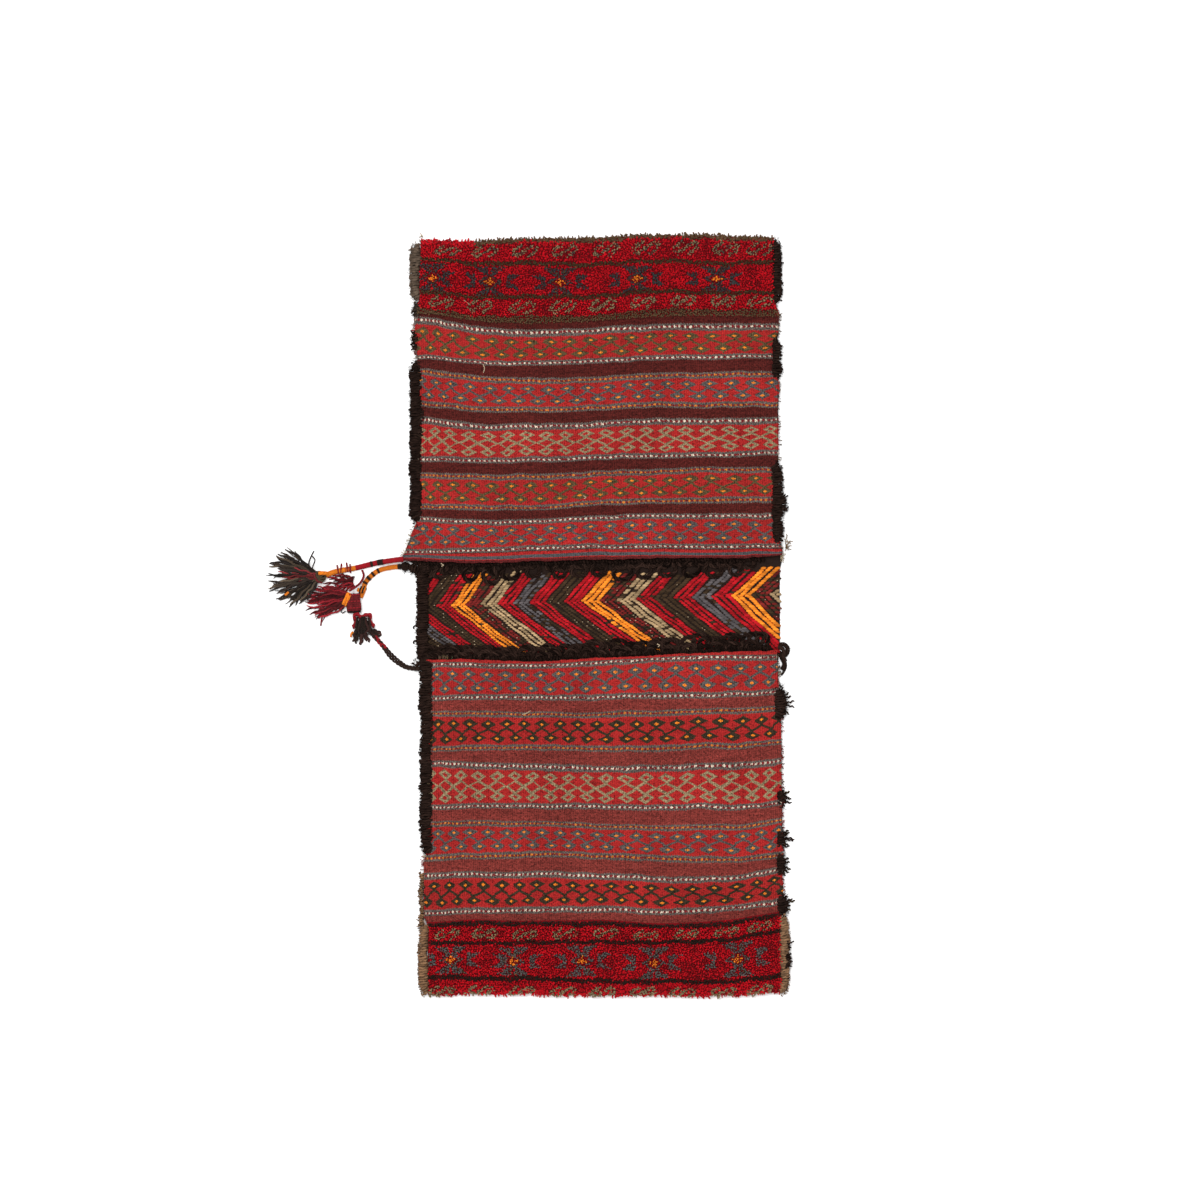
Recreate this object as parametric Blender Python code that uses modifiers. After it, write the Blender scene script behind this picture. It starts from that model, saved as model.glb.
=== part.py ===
"""Double saddle bag of woven wool, lying flat with its two pockets up.

One woven strip makes the back, the bridge and both pocket fronts: its two ends are folded in over
the back. Yarn overcast round both layers closes the sides, goat-hair loops line the two mouths, and
three cords with tassels hang from the left corners. Metres, +Z up. The origin is on the ground in
the middle of the bag's length; +Y runs towards the upper pocket and +X to the right.
"""

import math
from collections import namedtuple

import bmesh
import bpy
import numpy as np
from mathutils import Vector

# The woven strip
CLOTH = 0.0035
POCKET_GAP = 0.0091
SEAT_GAP = 0.0003
BRIDGE_LENGTH = 0.134
BRIDGE_CENTRE_Y = 0.0107
UPPER_WIDTH = 0.529
UPPER_CENTRE_X = -0.0045
BRIDGE_WIDTH = 0.5215
BRIDGE_CENTRE_X = -0.00425
LOWER_WIDTH = 0.521
LOWER_CENTRE_X = 0.0035
CORNER_JUT = 0.011
CORNER_JUT_LENGTH = 0.022
CORNER_RUN = 0.002
COLUMNS = 8
FOLD_STEPS = 6

# Bands of the fronts, from mouth to fold
PATTERNS = 5
UPPER_HEM = 0.0142
UPPER_LINE = 0.0086
UPPER_PATTERN = 0.0356
UPPER_PLAIN = 0.0142
UPPER_PILE = (("brown", 0.010), ("crimson", 0.020), ("brown", 0.0057), ("crimson", 0.0413),
              ("brown", 0.0071), ("crimson", 0.0208))
LOWER_HEM = 0.0071
LOWER_LINE = 0.0093
LOWER_PATTERN = 0.0392
LOWER_PLAIN = 0.016
LOWER_PILE = (("black", 0.010), ("crimson", 0.017), ("black", 0.0057), ("crimson", 0.047),
              ("black", 0.010), ("crimson", 0.0095))
HEM_RISE = 0.0006
LINE_RISE = 0.0012
PATTERN_RISE = 0.0006
PLAIN_RISE = 0.0
PILE_RISE = 0.005
BAND_STEP = 0.0016
UPPER_SAG = 0.008
LOWER_SAG = 0.005

# Chevrons of raised stitching across the bridge
CHEVRON_RISE = 0.0018
CHEVRON_SUNK = 0.0012
CHEVRON_GROOVE = 0.0016
CHEVRON_MARGIN = 0.002
CHEVRON_BEVEL = 0.0006
FIRST_APEX = 0.031
FIRST_PITCH = 0.0211
PITCH_GAIN = 0.0004
CHEVRONS_BEFORE = 6
CHEVRONS_AFTER = 20
APEX_HEIGHT = 0.0819
APEX_TILT = 0.033
UPPER_ARM_SLOPE = 1.03
LOWER_ARM_SLOPE = 0.717
CHEVRON_COLOURS = ("crimson", "orange", "maroon", "taupe", "crimson", "slate", "crimson", "black")

# Overcast side bindings and what is left of them
STITCH = 0.009
STITCH_DIP = 0.0008
RUN_CLEAR = 0.001
BRIDGE_BINDING_RADIUS = 0.006
TUFT_TAPER = 0.55
Run = namedtuple("Run", "name panel side measured_from start length colour")
RUNS = (
    Run("upper_left_black_binding", "upper", -1, "mouth", 0.060, 0.226, "black"),
    Run("upper_left_dark_binding", "upper", -1, "mouth", 0.349, 0.022, "black"),
    Run("upper_left_tan_binding", "upper", -1, "fold", 0.002, 0.076, "tan"),
    Run("upper_right_mouth_binding", "upper", 1, "mouth", 0.027, 0.115, "black"),
    Run("upper_right_middle_binding", "upper", 1, "mouth", 0.264, 0.055, "black"),
    Run("upper_right_top_binding", "upper", 1, "fold", 0.002, 0.080, "black"),
    Run("bridge_left_binding", "bridge", -1, "mouth", 0.010, 0.107, "black"),
    Run("lower_left_black_binding", "lower", -1, "mouth", 0.003, 0.275, "black"),
    Run("lower_left_tan_binding", "lower", -1, "fold", 0.002, 0.090, "tan"),
    Run("right_tuft_1", "lower", 1, "mouth", 0.045, 0.042, "black"),
    Run("right_tuft_2", "lower", 1, "mouth", 0.190, 0.018, "black"),
    Run("right_tuft_3", "lower", 1, "mouth", 0.245, 0.025, "black"),
    Run("right_tuft_4", "lower", 1, "mouth", 0.278, 0.032, "black"),
    Run("right_tuft_5", "lower", 1, "mouth", 0.338, 0.027, "black"),
    Run("lower_right_tan_binding", "lower", 1, "fold", 0.002, 0.100, "tan"),
)

# Goat-hair loops along the mouths
LOOPS = 15
LOOP_YARN = 0.0048
LOOP_BOW = 0.0068
LOOP_LEG = 0.0042
LOOP_REACH = 0.021
LOOP_REACH_VARIES = 0.004
LOOP_ROOT = 0.003
LOOP_ROW_INSET = 0.020
LOOP_STEPS = 6

# Cords and tassels at the left corners. Routes are offsets from the corner that each leaves.
RED_CORD = 0.007
ORANGE_CORD = 0.0065
DARK_CORD = 0.005
KNOT_RADIUS = 0.0065
KNOT_INSET = 0.0025
CORNER_LOOP_YARN = 0.006
RED_LOOP_YARN = 0.003
RED_ROUTE = ((-0.0003, 0.0057, 0.0141), (-0.0150, 0.0038, 0.0110), (-0.0392, 0.0000, 0.0042),
             (-0.0690, -0.0072, 0.0038), (-0.0960, -0.0121, 0.0042), (-0.1105, -0.0172, 0.0083))
ORANGE_ROUTE = ((-0.0044, -0.0050, 0.0080), (-0.0170, -0.0062, 0.0050), (-0.0335, -0.0100, 0.0036),
                (-0.0449, -0.0171, 0.0036), (-0.0549, -0.0285, 0.0036), (-0.0570, -0.0385, 0.0045),
                (-0.0615, -0.0490, 0.0065))
DARK_ROUTE = ((-0.0004, -0.0171, 0.0080), (-0.0110, -0.0159, 0.0050), (-0.0223, -0.0128, 0.0030),
              (-0.0394, 0.0000, 0.0028), (-0.0523, 0.0157, 0.0028), (-0.0640, 0.0288, 0.0032),
              (-0.0740, 0.0416, 0.0060))
CORNER_LOOP_ROUTE = ((0.0004, 0.0200, 0.0033), (0.0050, 0.0202, 0.0033), (0.0100, 0.0190, 0.0033),
                     (0.0125, 0.0140, 0.0033), (0.0108, 0.0080, 0.0033), (0.0065, 0.0040, 0.0033))
GREY_HEAD = (0.008, 0.009, 0.008)
GREY_SKIRT_LENGTH = 0.070
GREY_SKIRT_SPREAD = 0.037
MAROON_HEAD_LENGTH = 0.018
MAROON_HEAD = (0.0125, 0.008)
MAROON_BAND_LENGTH = 0.0056
MAROON_BAND = (0.010, 0.0065)
MAROON_SKIRT_LENGTH = 0.055
MAROON_SKIRT_SPREAD = 0.028
MINI_HEAD = (0.0075, 0.0075, 0.007)
MINI_SKIRT_LENGTH = 0.020
MINI_SKIRT_SPREAD = 0.012
SKIRT_THICKNESS = 0.013
SKIRT_PLEAT = 0.3
GREY_HEADING = (-0.998, -0.067)
MAROON_HEADING = (-0.85, -0.53)
MINI_HEADING = (-0.25, -0.97)

COLOURS = {
    "maroon": (0.13, 0.022, 0.020),
    "red": (0.46, 0.030, 0.035),
    "grey": (0.20, 0.17, 0.15),
    "brown": (0.075, 0.045, 0.018),
    "crimson": (0.42, 0.006, 0.016),
    "black": (0.018, 0.012, 0.010),
    "orange": (0.78, 0.22, 0.025),
    "taupe": (0.26, 0.20, 0.12),
    "slate": (0.085, 0.09, 0.105),
    "tan": (0.30, 0.20, 0.12),
}

MID_HEIGHT = CLOTH + POCKET_GAP / 2
BINDING_RADIUS = MID_HEIGHT - SEAT_GAP
FRONT_UNDERSIDE = CLOTH + POCKET_GAP
UPPER_MOUTH_Y = BRIDGE_CENTRE_Y + BRIDGE_LENGTH / 2
LOWER_MOUTH_Y = BRIDGE_CENTRE_Y - BRIDGE_LENGTH / 2

Band = namedtuple("Band", "colour width rise")
Front = namedtuple("Front", "name mouth_y sign sag edge_colour bands")
Row = namedtuple("Row", "y inner outer sag outside inside")


def front_bands(hem, line, pattern, plain, pile):
    bands = [Band("red", hem, HEM_RISE)]
    for _ in range(PATTERNS):
        bands += [Band("grey", line, LINE_RISE), Band("red", pattern, PATTERN_RISE),
                  Band("grey", line, LINE_RISE), Band("maroon", plain, PLAIN_RISE)]
    return bands + [Band(colour, width, PILE_RISE) for colour, width in pile]


def front_length(front):
    """From the mouth to the line that the fold turns about."""
    return sum(band.width for band in front.bands)


UPPER = Front("upper", UPPER_MOUTH_Y, 1, UPPER_SAG, "brown",
              front_bands(UPPER_HEM, UPPER_LINE, UPPER_PATTERN, UPPER_PLAIN, UPPER_PILE))
LOWER = Front("lower", LOWER_MOUTH_Y, -1, LOWER_SAG, "crimson",
              front_bands(LOWER_HEM, LOWER_LINE, LOWER_PATTERN, LOWER_PLAIN, LOWER_PILE))
FRONTS = {"upper": UPPER, "lower": LOWER}


def fold_y(front):
    return front.mouth_y + front.sign * front_length(front)


def run_span(run):
    """The lowest and highest y of a run of binding."""
    if run.panel == "bridge":
        return LOWER_MOUTH_Y + run.start, LOWER_MOUTH_Y + run.start + run.length
    front = FRONTS[run.panel]
    if run.measured_from == "mouth":
        near = front.mouth_y + front.sign * run.start
        far = near + front.sign * run.length
    else:
        near = fold_y(front) - front.sign * run.start
        far = near - front.sign * run.length
    return min(near, far), max(near, far)


def run_radius(run):
    return BRIDGE_BINDING_RADIUS if run.panel == "bridge" else BINDING_RADIUS


def run_height(run):
    """Height of a run's middle: between the two layers, or resting low on the one of the bridge."""
    return run_radius(run) + SEAT_GAP


def seat_reach(radius, height):
    """From the axis of a round, eight-sided piece to the cloth edge that it is sewn against."""
    facet = math.pi / 8
    return radius + (SEAT_GAP - (height - CLOTH) * math.sin(facet)) / math.cos(facet)


def outline_x(y, side):
    """The bag's silhouette at the left (side -1) or right (side 1)."""
    upper = UPPER_CENTRE_X + side * UPPER_WIDTH / 2
    bridge = BRIDGE_CENTRE_X + side * BRIDGE_WIDTH / 2
    lower = LOWER_CENTRE_X + side * LOWER_WIDTH / 2
    corner = upper - CORNER_JUT if side < 0 else upper
    heights = (LOWER_MOUTH_Y, LOWER_MOUTH_Y + CORNER_RUN, UPPER_MOUTH_Y - CORNER_RUN,
               UPPER_MOUTH_Y, UPPER_MOUTH_Y + CORNER_JUT_LENGTH)
    return float(np.interp(y, heights, (lower, bridge, bridge, corner, upper)))


def cloth_x(y, side):
    """The cloth's own edge, which lies further in where a binding goes round it."""
    for run in RUNS:
        low, high = run_span(run)
        if run.side == side and low - RUN_CLEAR <= y <= high + RUN_CLEAR:
            radius = run_radius(run)
            return outline_x(y, side) - side * (radius + seat_reach(radius, run_height(run)))
    return outline_x(y, side)


def spaced(values, least=0.0005):
    """Sorted values without near duplicates. The first and the last are kept."""
    values = sorted(values)
    kept = [values[0]]
    for value in values[1:-1]:
        if value - kept[-1] > least and values[-1] - value > least:
            kept.append(value)
    return kept + [values[-1]]


def run_ends(panel):
    ends = [end for run in RUNS if run.panel == panel for end in run_span(run)]
    return [end + step for end in ends for step in (-RUN_CLEAR, RUN_CLEAR)]


def band_at(front, distance):
    reach = 0.0
    for band in front.bands:
        reach += band.width
        if distance < reach:
            return band
    return front.bands[-1]


def front_rows(front):
    """Rows across one front from its mouth to its fold, with a step where the bands' height changes."""
    length = front_length(front)
    cuts = [0.0, length, CORNER_JUT_LENGTH]
    edge = 0.0
    for band, after in zip(front.bands, front.bands[1:]):
        edge += band.width
        steps = (-BAND_STEP / 2, BAND_STEP / 2) if band.rise != after.rise else (0.0,)
        cuts += [edge + step for step in steps]
    cuts += [front.sign * (y - front.mouth_y) for y in run_ends(front.name)]
    rows = []
    for distance in spaced([cut for cut in cuts if 0 <= cut <= length]):
        band = band_at(front, distance)
        y = front.mouth_y + front.sign * distance
        sag = front.sag * math.sin(math.pi * distance / length)
        top = FRONT_UNDERSIDE + CLOTH + band.rise
        rows.append(Row(y, (y, FRONT_UNDERSIDE), (y, top), sag, band.colour, "maroon"))
    return rows


def fold_rows(front):
    """Rows round a fold, from the front down to the back. The pile thins out towards the ground."""
    rows = []
    for step in range(1, FOLD_STEPS):
        turn = math.pi * step / FOLD_STEPS
        inner = POCKET_GAP / 2
        outer = inner + CLOTH + PILE_RISE * (1 + math.cos(turn)) / 2
        away, up = front.sign * math.sin(turn), math.cos(turn)
        y = fold_y(front)
        colour = front.edge_colour if up > 0 else "maroon"
        rows.append(Row(y, (y + away * inner, MID_HEIGHT + up * inner),
                        (y + away * outer, MID_HEIGHT + up * outer), 0.0, colour, "maroon"))
    return rows


def back_rows():
    """Rows of the back and the bridge, from the lower fold to the upper one."""
    cuts = [fold_y(LOWER), LOWER_MOUTH_Y, LOWER_MOUTH_Y + CORNER_RUN, UPPER_MOUTH_Y - CORNER_RUN,
            UPPER_MOUTH_Y, UPPER_MOUTH_Y + CORNER_JUT_LENGTH, fold_y(UPPER)]
    for panel in ("lower", "bridge", "upper"):
        cuts += run_ends(panel)
    return [Row(y, (y, CLOTH), (y, 0.0), 0.0, "maroon", "maroon") for y in spaced(cuts)]


def strip_rows():
    """All rows of the strip, from the lower mouth round the back to the upper mouth."""
    return (front_rows(LOWER) + fold_rows(LOWER) + back_rows()
            + fold_rows(UPPER)[::-1] + front_rows(UPPER)[::-1])


def material(name):
    found = bpy.data.materials.get(name)
    if found:
        return found
    made = bpy.data.materials.new(name)
    made.use_nodes = True
    shader = made.node_tree.nodes["Principled BSDF"]
    shader.inputs["Base Color"].default_value = (*COLOURS[name], 1.0)
    shader.inputs["Roughness"].default_value = 0.95
    shader.inputs["Metallic"].default_value = 0.0
    made.diffuse_color = (*COLOURS[name], 1.0)
    return made


def own_material(name, colour):
    made = material(colour).copy()
    made.name = name + "_" + colour
    return made


def mesh_object(name, bm, materials, collection):
    bm.normal_update()
    bmesh.ops.recalc_face_normals(bm, faces=bm.faces)
    mesh = bpy.data.meshes.new(name)
    bm.to_mesh(mesh)
    bm.free()
    for slot in materials:
        mesh.materials.append(slot)
    made = bpy.data.objects.new(name, mesh)
    collection.objects.link(made)
    return made


def hide(cutter):
    cutter.hide_render = True
    cutter.display_type = "WIRE"


def woven_strip(collection):
    """A flat grid, doubled by one extrusion, with every corner moved to its place on the folded strip."""
    rows = strip_rows()
    colours = list(COLOURS)
    bm = bmesh.new()
    bmesh.ops.create_grid(bm, x_segments=COLUMNS, y_segments=len(rows) - 1, size=0.5)
    doubled = bmesh.ops.extrude_face_region(bm, geom=bm.faces[:])
    for corner in doubled["geom"]:
        if isinstance(corner, bmesh.types.BMVert):
            corner.co.z = 1.0
    for face in bm.faces:
        middle = face.calc_center_median()
        row = rows[int((middle.y + 0.5) * (len(rows) - 1))]
        if middle.z < 0.25:
            face.material_index = colours.index(row.inside)
        else:
            face.material_index = colours.index(row.outside)
    for corner in bm.verts:
        row = rows[round((corner.co.y + 0.5) * (len(rows) - 1))]
        across = corner.co.x + 0.5
        left, right = cloth_x(row.y, -1), cloth_x(row.y, 1)
        y, z = row.outer if corner.co.z > 0.5 else row.inner
        y -= row.sag * math.sin(math.pi * across)
        corner.co = (left + (right - left) * across, y, z)
    return mesh_object("woven_cloth", bm, [material(name) for name in colours], collection)


def apex_x(number):
    first = BRIDGE_CENTRE_X - BRIDGE_WIDTH / 2 + FIRST_APEX
    return first + number * FIRST_PITCH + number * (number - 1) / 2 * PITCH_GAIN


def chevron_stitches(collection):
    """Bent bars side by side, each one colour of stitching, cut off along the bridge's sides."""
    colours = list(COLOURS)
    bottom, top = LOWER_MOUTH_Y + CHEVRON_MARGIN, UPPER_MOUTH_Y - CHEVRON_MARGIN
    bm = bmesh.new()
    for number in range(-CHEVRONS_BEFORE, CHEVRONS_AFTER):
        x, width = apex_x(number), apex_x(number + 1) - apex_x(number) - CHEVRON_GROOVE
        y = LOWER_MOUTH_Y + APEX_HEIGHT + APEX_TILT * x
        high, low = top + CHEVRON_MARGIN, bottom - CHEVRON_MARGIN
        up = x + (high - y) / UPPER_ARM_SLOPE
        down = x + (y - low) / LOWER_ARM_SLOPE
        outline = ((x, y), (down, low), (down + width, low), (x + width, y), (up + width, high),
                   (up, high))
        corners = [bm.verts.new((px, py, CLOTH - CHEVRON_SUNK)) for px, py in outline]
        face = bm.faces.new(corners)
        face.material_index = colours.index(CHEVRON_COLOURS[number % len(CHEVRON_COLOURS)])
        raised = bmesh.ops.extrude_face_region(bm, geom=[face])
        for corner in raised["geom"]:
            if isinstance(corner, bmesh.types.BMVert):
                corner.co.z = CLOTH + CHEVRON_RISE
    slots = [material(name) for name in colours]
    stitches = mesh_object("chevron_stitches", bm, slots, collection)
    soften = stitches.modifiers.new("soften", "BEVEL")
    soften.width = CHEVRON_BEVEL
    soften.segments = 1
    window = bmesh.new()
    bmesh.ops.create_cube(window, size=1.0)
    for corner in window.verts:
        side = 1 if corner.co.x > 0 else -1
        y = top if corner.co.y > 0 else bottom
        edge = cloth_x(BRIDGE_CENTRE_Y, side) - side * CHEVRON_MARGIN
        corner.co = (edge, y, CLOTH + corner.co.z * 4 * CHEVRON_RISE)
    frame = mesh_object("chevron_window", window, [], collection)
    hide(frame)
    cut = stitches.modifiers.new("window", "BOOLEAN")
    cut.operation = "INTERSECT"
    cut.object = frame
    hide(stitches)
    return stitches


def smooth_route(points, spacing):
    """Points at even steps along a smooth curve through the given ones."""
    points = [Vector(point) for point in points]
    before = points[0] * 2 - points[1]
    after = points[-1] * 2 - points[-2]
    ends = [before, *points, after]
    route = []
    for a, b, c, d in zip(ends, ends[1:], ends[2:], ends[3:]):
        steps = max(1, round((c - b).length / spacing))
        for step in range(steps):
            t = step / steps
            route.append(0.5 * (2 * b + (c - a) * t + (2 * a - 5 * b + 4 * c - d) * t * t
                                + (3 * b - a - 3 * c + d) * t * t * t))
    return route + [points[-1]]


def tube(name, points, radius, colour, collection, shares=None, sides=2):
    """A yarn, cord or roll along the given points; shares thin it from point to point."""
    curve = bpy.data.curves.new(name, "CURVE")
    curve.dimensions = "3D"
    curve.bevel_depth = radius
    curve.bevel_resolution = sides
    curve.render_resolution_u = 0
    curve.use_fill_caps = True
    spline = curve.splines.new("POLY")
    spline.points.add(len(points) - 1)
    for number, (corner, point) in enumerate(zip(spline.points, points)):
        corner.co = (*point, 1.0)
        corner.radius = shares[number] if shares else 1.0
    curve.materials.append(own_material(name, colour))
    made = bpy.data.objects.new(name, curve)
    collection.objects.link(made)
    return made


def binding(run, collection):
    """Yarn sewn over and over round the cloth's edge: a roll with a dip between stitches."""
    low, high = run_span(run)
    radius = run_radius(run)
    steps = 2 * max(2, round((high - low) / STITCH / 2))
    points, shares = [], []
    for step in range(steps + 1):
        y = low + (high - low) * step / steps
        points.append((outline_x(y, run.side) - run.side * radius, y, run_height(run)))
        share = 1.0 - (STITCH_DIP / radius if step % 2 else 0.0)
        if step in (0, steps):
            share = TUFT_TAPER
        shares.append(share)
    return tube(run.name, points, radius, run.colour, collection, shares)


def closure_loop(name, x, mouth_y, towards, reach, lean, collection):
    """One loop of plied goat hair: its two legs come from under the mouth and lie on the stitching."""
    height = CLOTH + CHEVRON_RISE + SEAT_GAP + LOOP_YARN / 2
    root = mouth_y - towards * LOOP_ROOT
    centre_y = mouth_y + towards * (reach - LOOP_BOW)
    points = [(x - LOOP_LEG, root, height)]
    for step in range(LOOP_STEPS + 1):
        turn = math.radians(205 - 230 * step / LOOP_STEPS)
        points.append((x + lean + LOOP_BOW * math.cos(turn),
                       centre_y + towards * LOOP_BOW * math.sin(turn), height))
    points.append((x + LOOP_LEG, root, height))
    return tube(name, points, LOOP_YARN / 2, "black", collection, sides=1)


def loop_row(name, mouth_y, towards, collection):
    left = BRIDGE_CENTRE_X - BRIDGE_WIDTH / 2 + LOOP_ROW_INSET
    pitch = (BRIDGE_WIDTH - 2 * LOOP_ROW_INSET) / LOOPS
    for number in range(LOOPS):
        wave = math.sin(2.4 * number + mouth_y)
        closure_loop(f"{name}_{number + 1:02d}", left + (number + 0.5) * pitch, mouth_y, towards,
                     LOOP_REACH + wave * LOOP_REACH_VARIES, wave * LOOP_YARN / 2, collection)


def ball(name, centre, radii, colour, collection):
    """A knot or a bound tassel head."""
    bm = bmesh.new()
    bmesh.ops.create_uvsphere(bm, u_segments=12, v_segments=8, radius=1.0)
    for corner in bm.verts:
        corner.co = Vector(centre) + Vector(a * b for a, b in zip(corner.co, radii))
    made = mesh_object(name, bm, [own_material(name, colour)], collection)
    made.data.shade_smooth()
    return made


def set_along(bm, start, heading, length, shape):
    """Turns a unit cone that stands on its wide end to run from start along heading."""
    ahead = Vector((*heading, 0.0)).normalized()
    aside = Vector((-ahead.y, ahead.x, 0.0))
    for corner in bm.verts:
        along = 0.5 - corner.co.z
        turn = math.atan2(corner.co.y, corner.co.x)
        reach, wide, high, height = shape(along, turn, math.hypot(corner.co.x, corner.co.y))
        corner.co = (Vector((start[0], start[1], height)) + ahead * reach * length
                     + aside * wide + Vector((0.0, 0.0, high)))


def barrel(name, start, heading, length, half_width, half_height, colour, collection):
    """A short wound or woven drum lying on its side, oval in section."""
    bm = bmesh.new()
    bmesh.ops.create_cone(bm, cap_ends=True, segments=12, radius1=1.0, radius2=1.0, depth=1.0)

    def shape(along, turn, radius):
        return along, half_width * math.cos(turn), half_height * math.sin(turn), start[2]

    set_along(bm, start, heading, length, shape)
    made = mesh_object(name, bm, [own_material(name, colour)], collection)
    soften = made.modifiers.new("soften", "BEVEL")
    soften.width = half_height / 5
    soften.segments = 1
    return made


def skirt(name, neck, heading, length, neck_half, spread, strands, colour, collection):
    """Cut yarn ends that fan out of a tassel's neck: a flattened cone with deep, ragged pleats."""
    bm = bmesh.new()
    bmesh.ops.create_cone(bm, cap_ends=True, segments=2 * strands, radius1=1.0, radius2=1.0,
                          depth=1.0)
    wide_end = [face for face in bm.faces if len(face.verts) > 4 and face.calc_center_median().z < 0]
    bmesh.ops.poke(bm, faces=wide_end)
    half_thick = SKIRT_THICKNESS / 2

    def shape(along, turn, radius):
        pleat = radius * (1.0 - SKIRT_PLEAT * along * (1.0 - math.cos(strands * turn)) / 2)
        wide = (neck_half + (spread - neck_half) * along) * pleat * math.cos(turn)
        high = (neck_half + (half_thick - neck_half) * along) * pleat * math.sin(turn)
        middle = neck[2] + (half_thick + SEAT_GAP - neck[2]) * along
        ragged = 1.0 - along * (0.12 * math.sin(3 * turn) ** 2 + (0.0 if radius > 0.5 else 0.3))
        return along * ragged, wide, high, middle

    set_along(bm, neck, heading, length, shape)
    return mesh_object(name, bm, [own_material(name, colour)], collection)


def offset(corner, route):
    return [(corner[0] + x, corner[1] + y, z) for x, y, z in route]


def cord(name, route, diameter, colour, collection):
    tube(name, smooth_route(route, 2.2 * diameter), diameter / 2, colour, collection)
    last, before = Vector(route[-1]), Vector(route[-2])
    return last, (last - before).normalized()


def tassels(collection):
    upper = (outline_x(UPPER_MOUTH_Y, -1), UPPER_MOUTH_Y)
    lower = (outline_x(LOWER_MOUTH_Y, -1), LOWER_MOUTH_Y)

    knot_y = UPPER_MOUTH_Y - seat_reach(KNOT_RADIUS, MID_HEIGHT)
    ball("upper_corner_knot", (upper[0] + KNOT_INSET, knot_y, MID_HEIGHT), (KNOT_RADIUS,) * 3,
         "black", collection)

    end, ahead = cord("red_tassel_cord", offset(upper, RED_ROUTE), RED_CORD, "crimson", collection)
    head = end + Vector((ahead.x, ahead.y, 0.0)).normalized() * (GREY_HEAD[0] + SEAT_GAP)
    head.z = GREY_HEAD[2] + SEAT_GAP
    ball("grey_tassel_head", head, GREY_HEAD, "grey", collection)
    heading = Vector((*GREY_HEADING, 0.0))
    skirt("grey_tassel_skirt", head + heading * (GREY_HEAD[0] + SEAT_GAP), GREY_HEADING,
          GREY_SKIRT_LENGTH, GREY_HEAD[1] / 2, GREY_SKIRT_SPREAD, 11, "grey", collection)

    end, _ = cord("orange_tassel_cord", offset(upper, ORANGE_ROUTE), ORANGE_CORD, "orange",
                  collection)
    heading = Vector((*MAROON_HEADING, 0.0)).normalized()
    start = end + heading * (SEAT_GAP + ORANGE_CORD / 4)
    start.z = MAROON_HEAD[1] + SEAT_GAP
    barrel("maroon_tassel_head", start, MAROON_HEADING, MAROON_HEAD_LENGTH, *MAROON_HEAD, "maroon",
           collection)
    start = start + heading * (MAROON_HEAD_LENGTH + SEAT_GAP)
    barrel("maroon_tassel_band", start, MAROON_HEADING, MAROON_BAND_LENGTH, *MAROON_BAND, "orange",
           collection)
    start = start + heading * (MAROON_BAND_LENGTH + SEAT_GAP)
    skirt("maroon_tassel_skirt", start, MAROON_HEADING, MAROON_SKIRT_LENGTH, MAROON_BAND[1],
          MAROON_SKIRT_SPREAD, 9, "maroon", collection)

    end, ahead = cord("dark_tassel_cord", offset(lower, DARK_ROUTE), DARK_CORD, "black", collection)
    ahead = Vector((ahead.x, ahead.y, 0.0)).normalized()
    head = end + ahead * (MINI_HEAD[1] + SEAT_GAP)
    head.z = MINI_HEAD[2] + SEAT_GAP
    ball("mini_tassel_head", head, MINI_HEAD, "black", collection)
    heading = Vector((*MINI_HEADING, 0.0)).normalized()
    skirt("mini_tassel_skirt", head + heading * (MINI_HEAD[1] + SEAT_GAP), MINI_HEADING,
          MINI_SKIRT_LENGTH, MINI_HEAD[0] / 2, MINI_SKIRT_SPREAD, 5, "black", collection)
    arch = []
    for step in range(9):
        turn = math.pi * step / 8
        clear = RED_LOOP_YARN / 2 + 2 * SEAT_GAP
        arch.append((head.x + (MINI_HEAD[0] + clear) * math.cos(turn),
                     head.y + (MINI_HEAD[1] + clear) * math.sin(turn), head.z))
    tube("small_red_loop", arch, RED_LOOP_YARN / 2, "crimson", collection, sides=1)

    right = (outline_x(BRIDGE_CENTRE_Y, 1), LOWER_MOUTH_Y)
    route = smooth_route(offset(right, CORNER_LOOP_ROUTE), CORNER_LOOP_YARN)
    tube("right_corner_loop", route, CORNER_LOOP_YARN / 2, "black", collection)


def build():
    for old in list(bpy.data.objects):
        bpy.data.objects.remove(old, do_unlink=True)
    bag = bpy.data.collections.new("kilim_saddle_bag")
    cutters = bpy.data.collections.new("cutters")
    bpy.context.scene.collection.children.link(bag)
    bpy.context.scene.collection.children.link(cutters)

    cloth = woven_strip(bag)
    join = cloth.modifiers.new("stitching", "BOOLEAN")
    join.operation = "UNION"
    join.object = chevron_stitches(cutters)
    for run in RUNS:
        binding(run, bag)
    loop_row("upper_loop", UPPER_MOUTH_Y, -1, bag)
    loop_row("lower_loop", LOWER_MOUTH_Y, 1, bag)
    tassels(bag)


build()
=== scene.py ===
import math
import random

import bmesh
import bpy
import numpy as np
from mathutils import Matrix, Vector, noise


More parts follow.
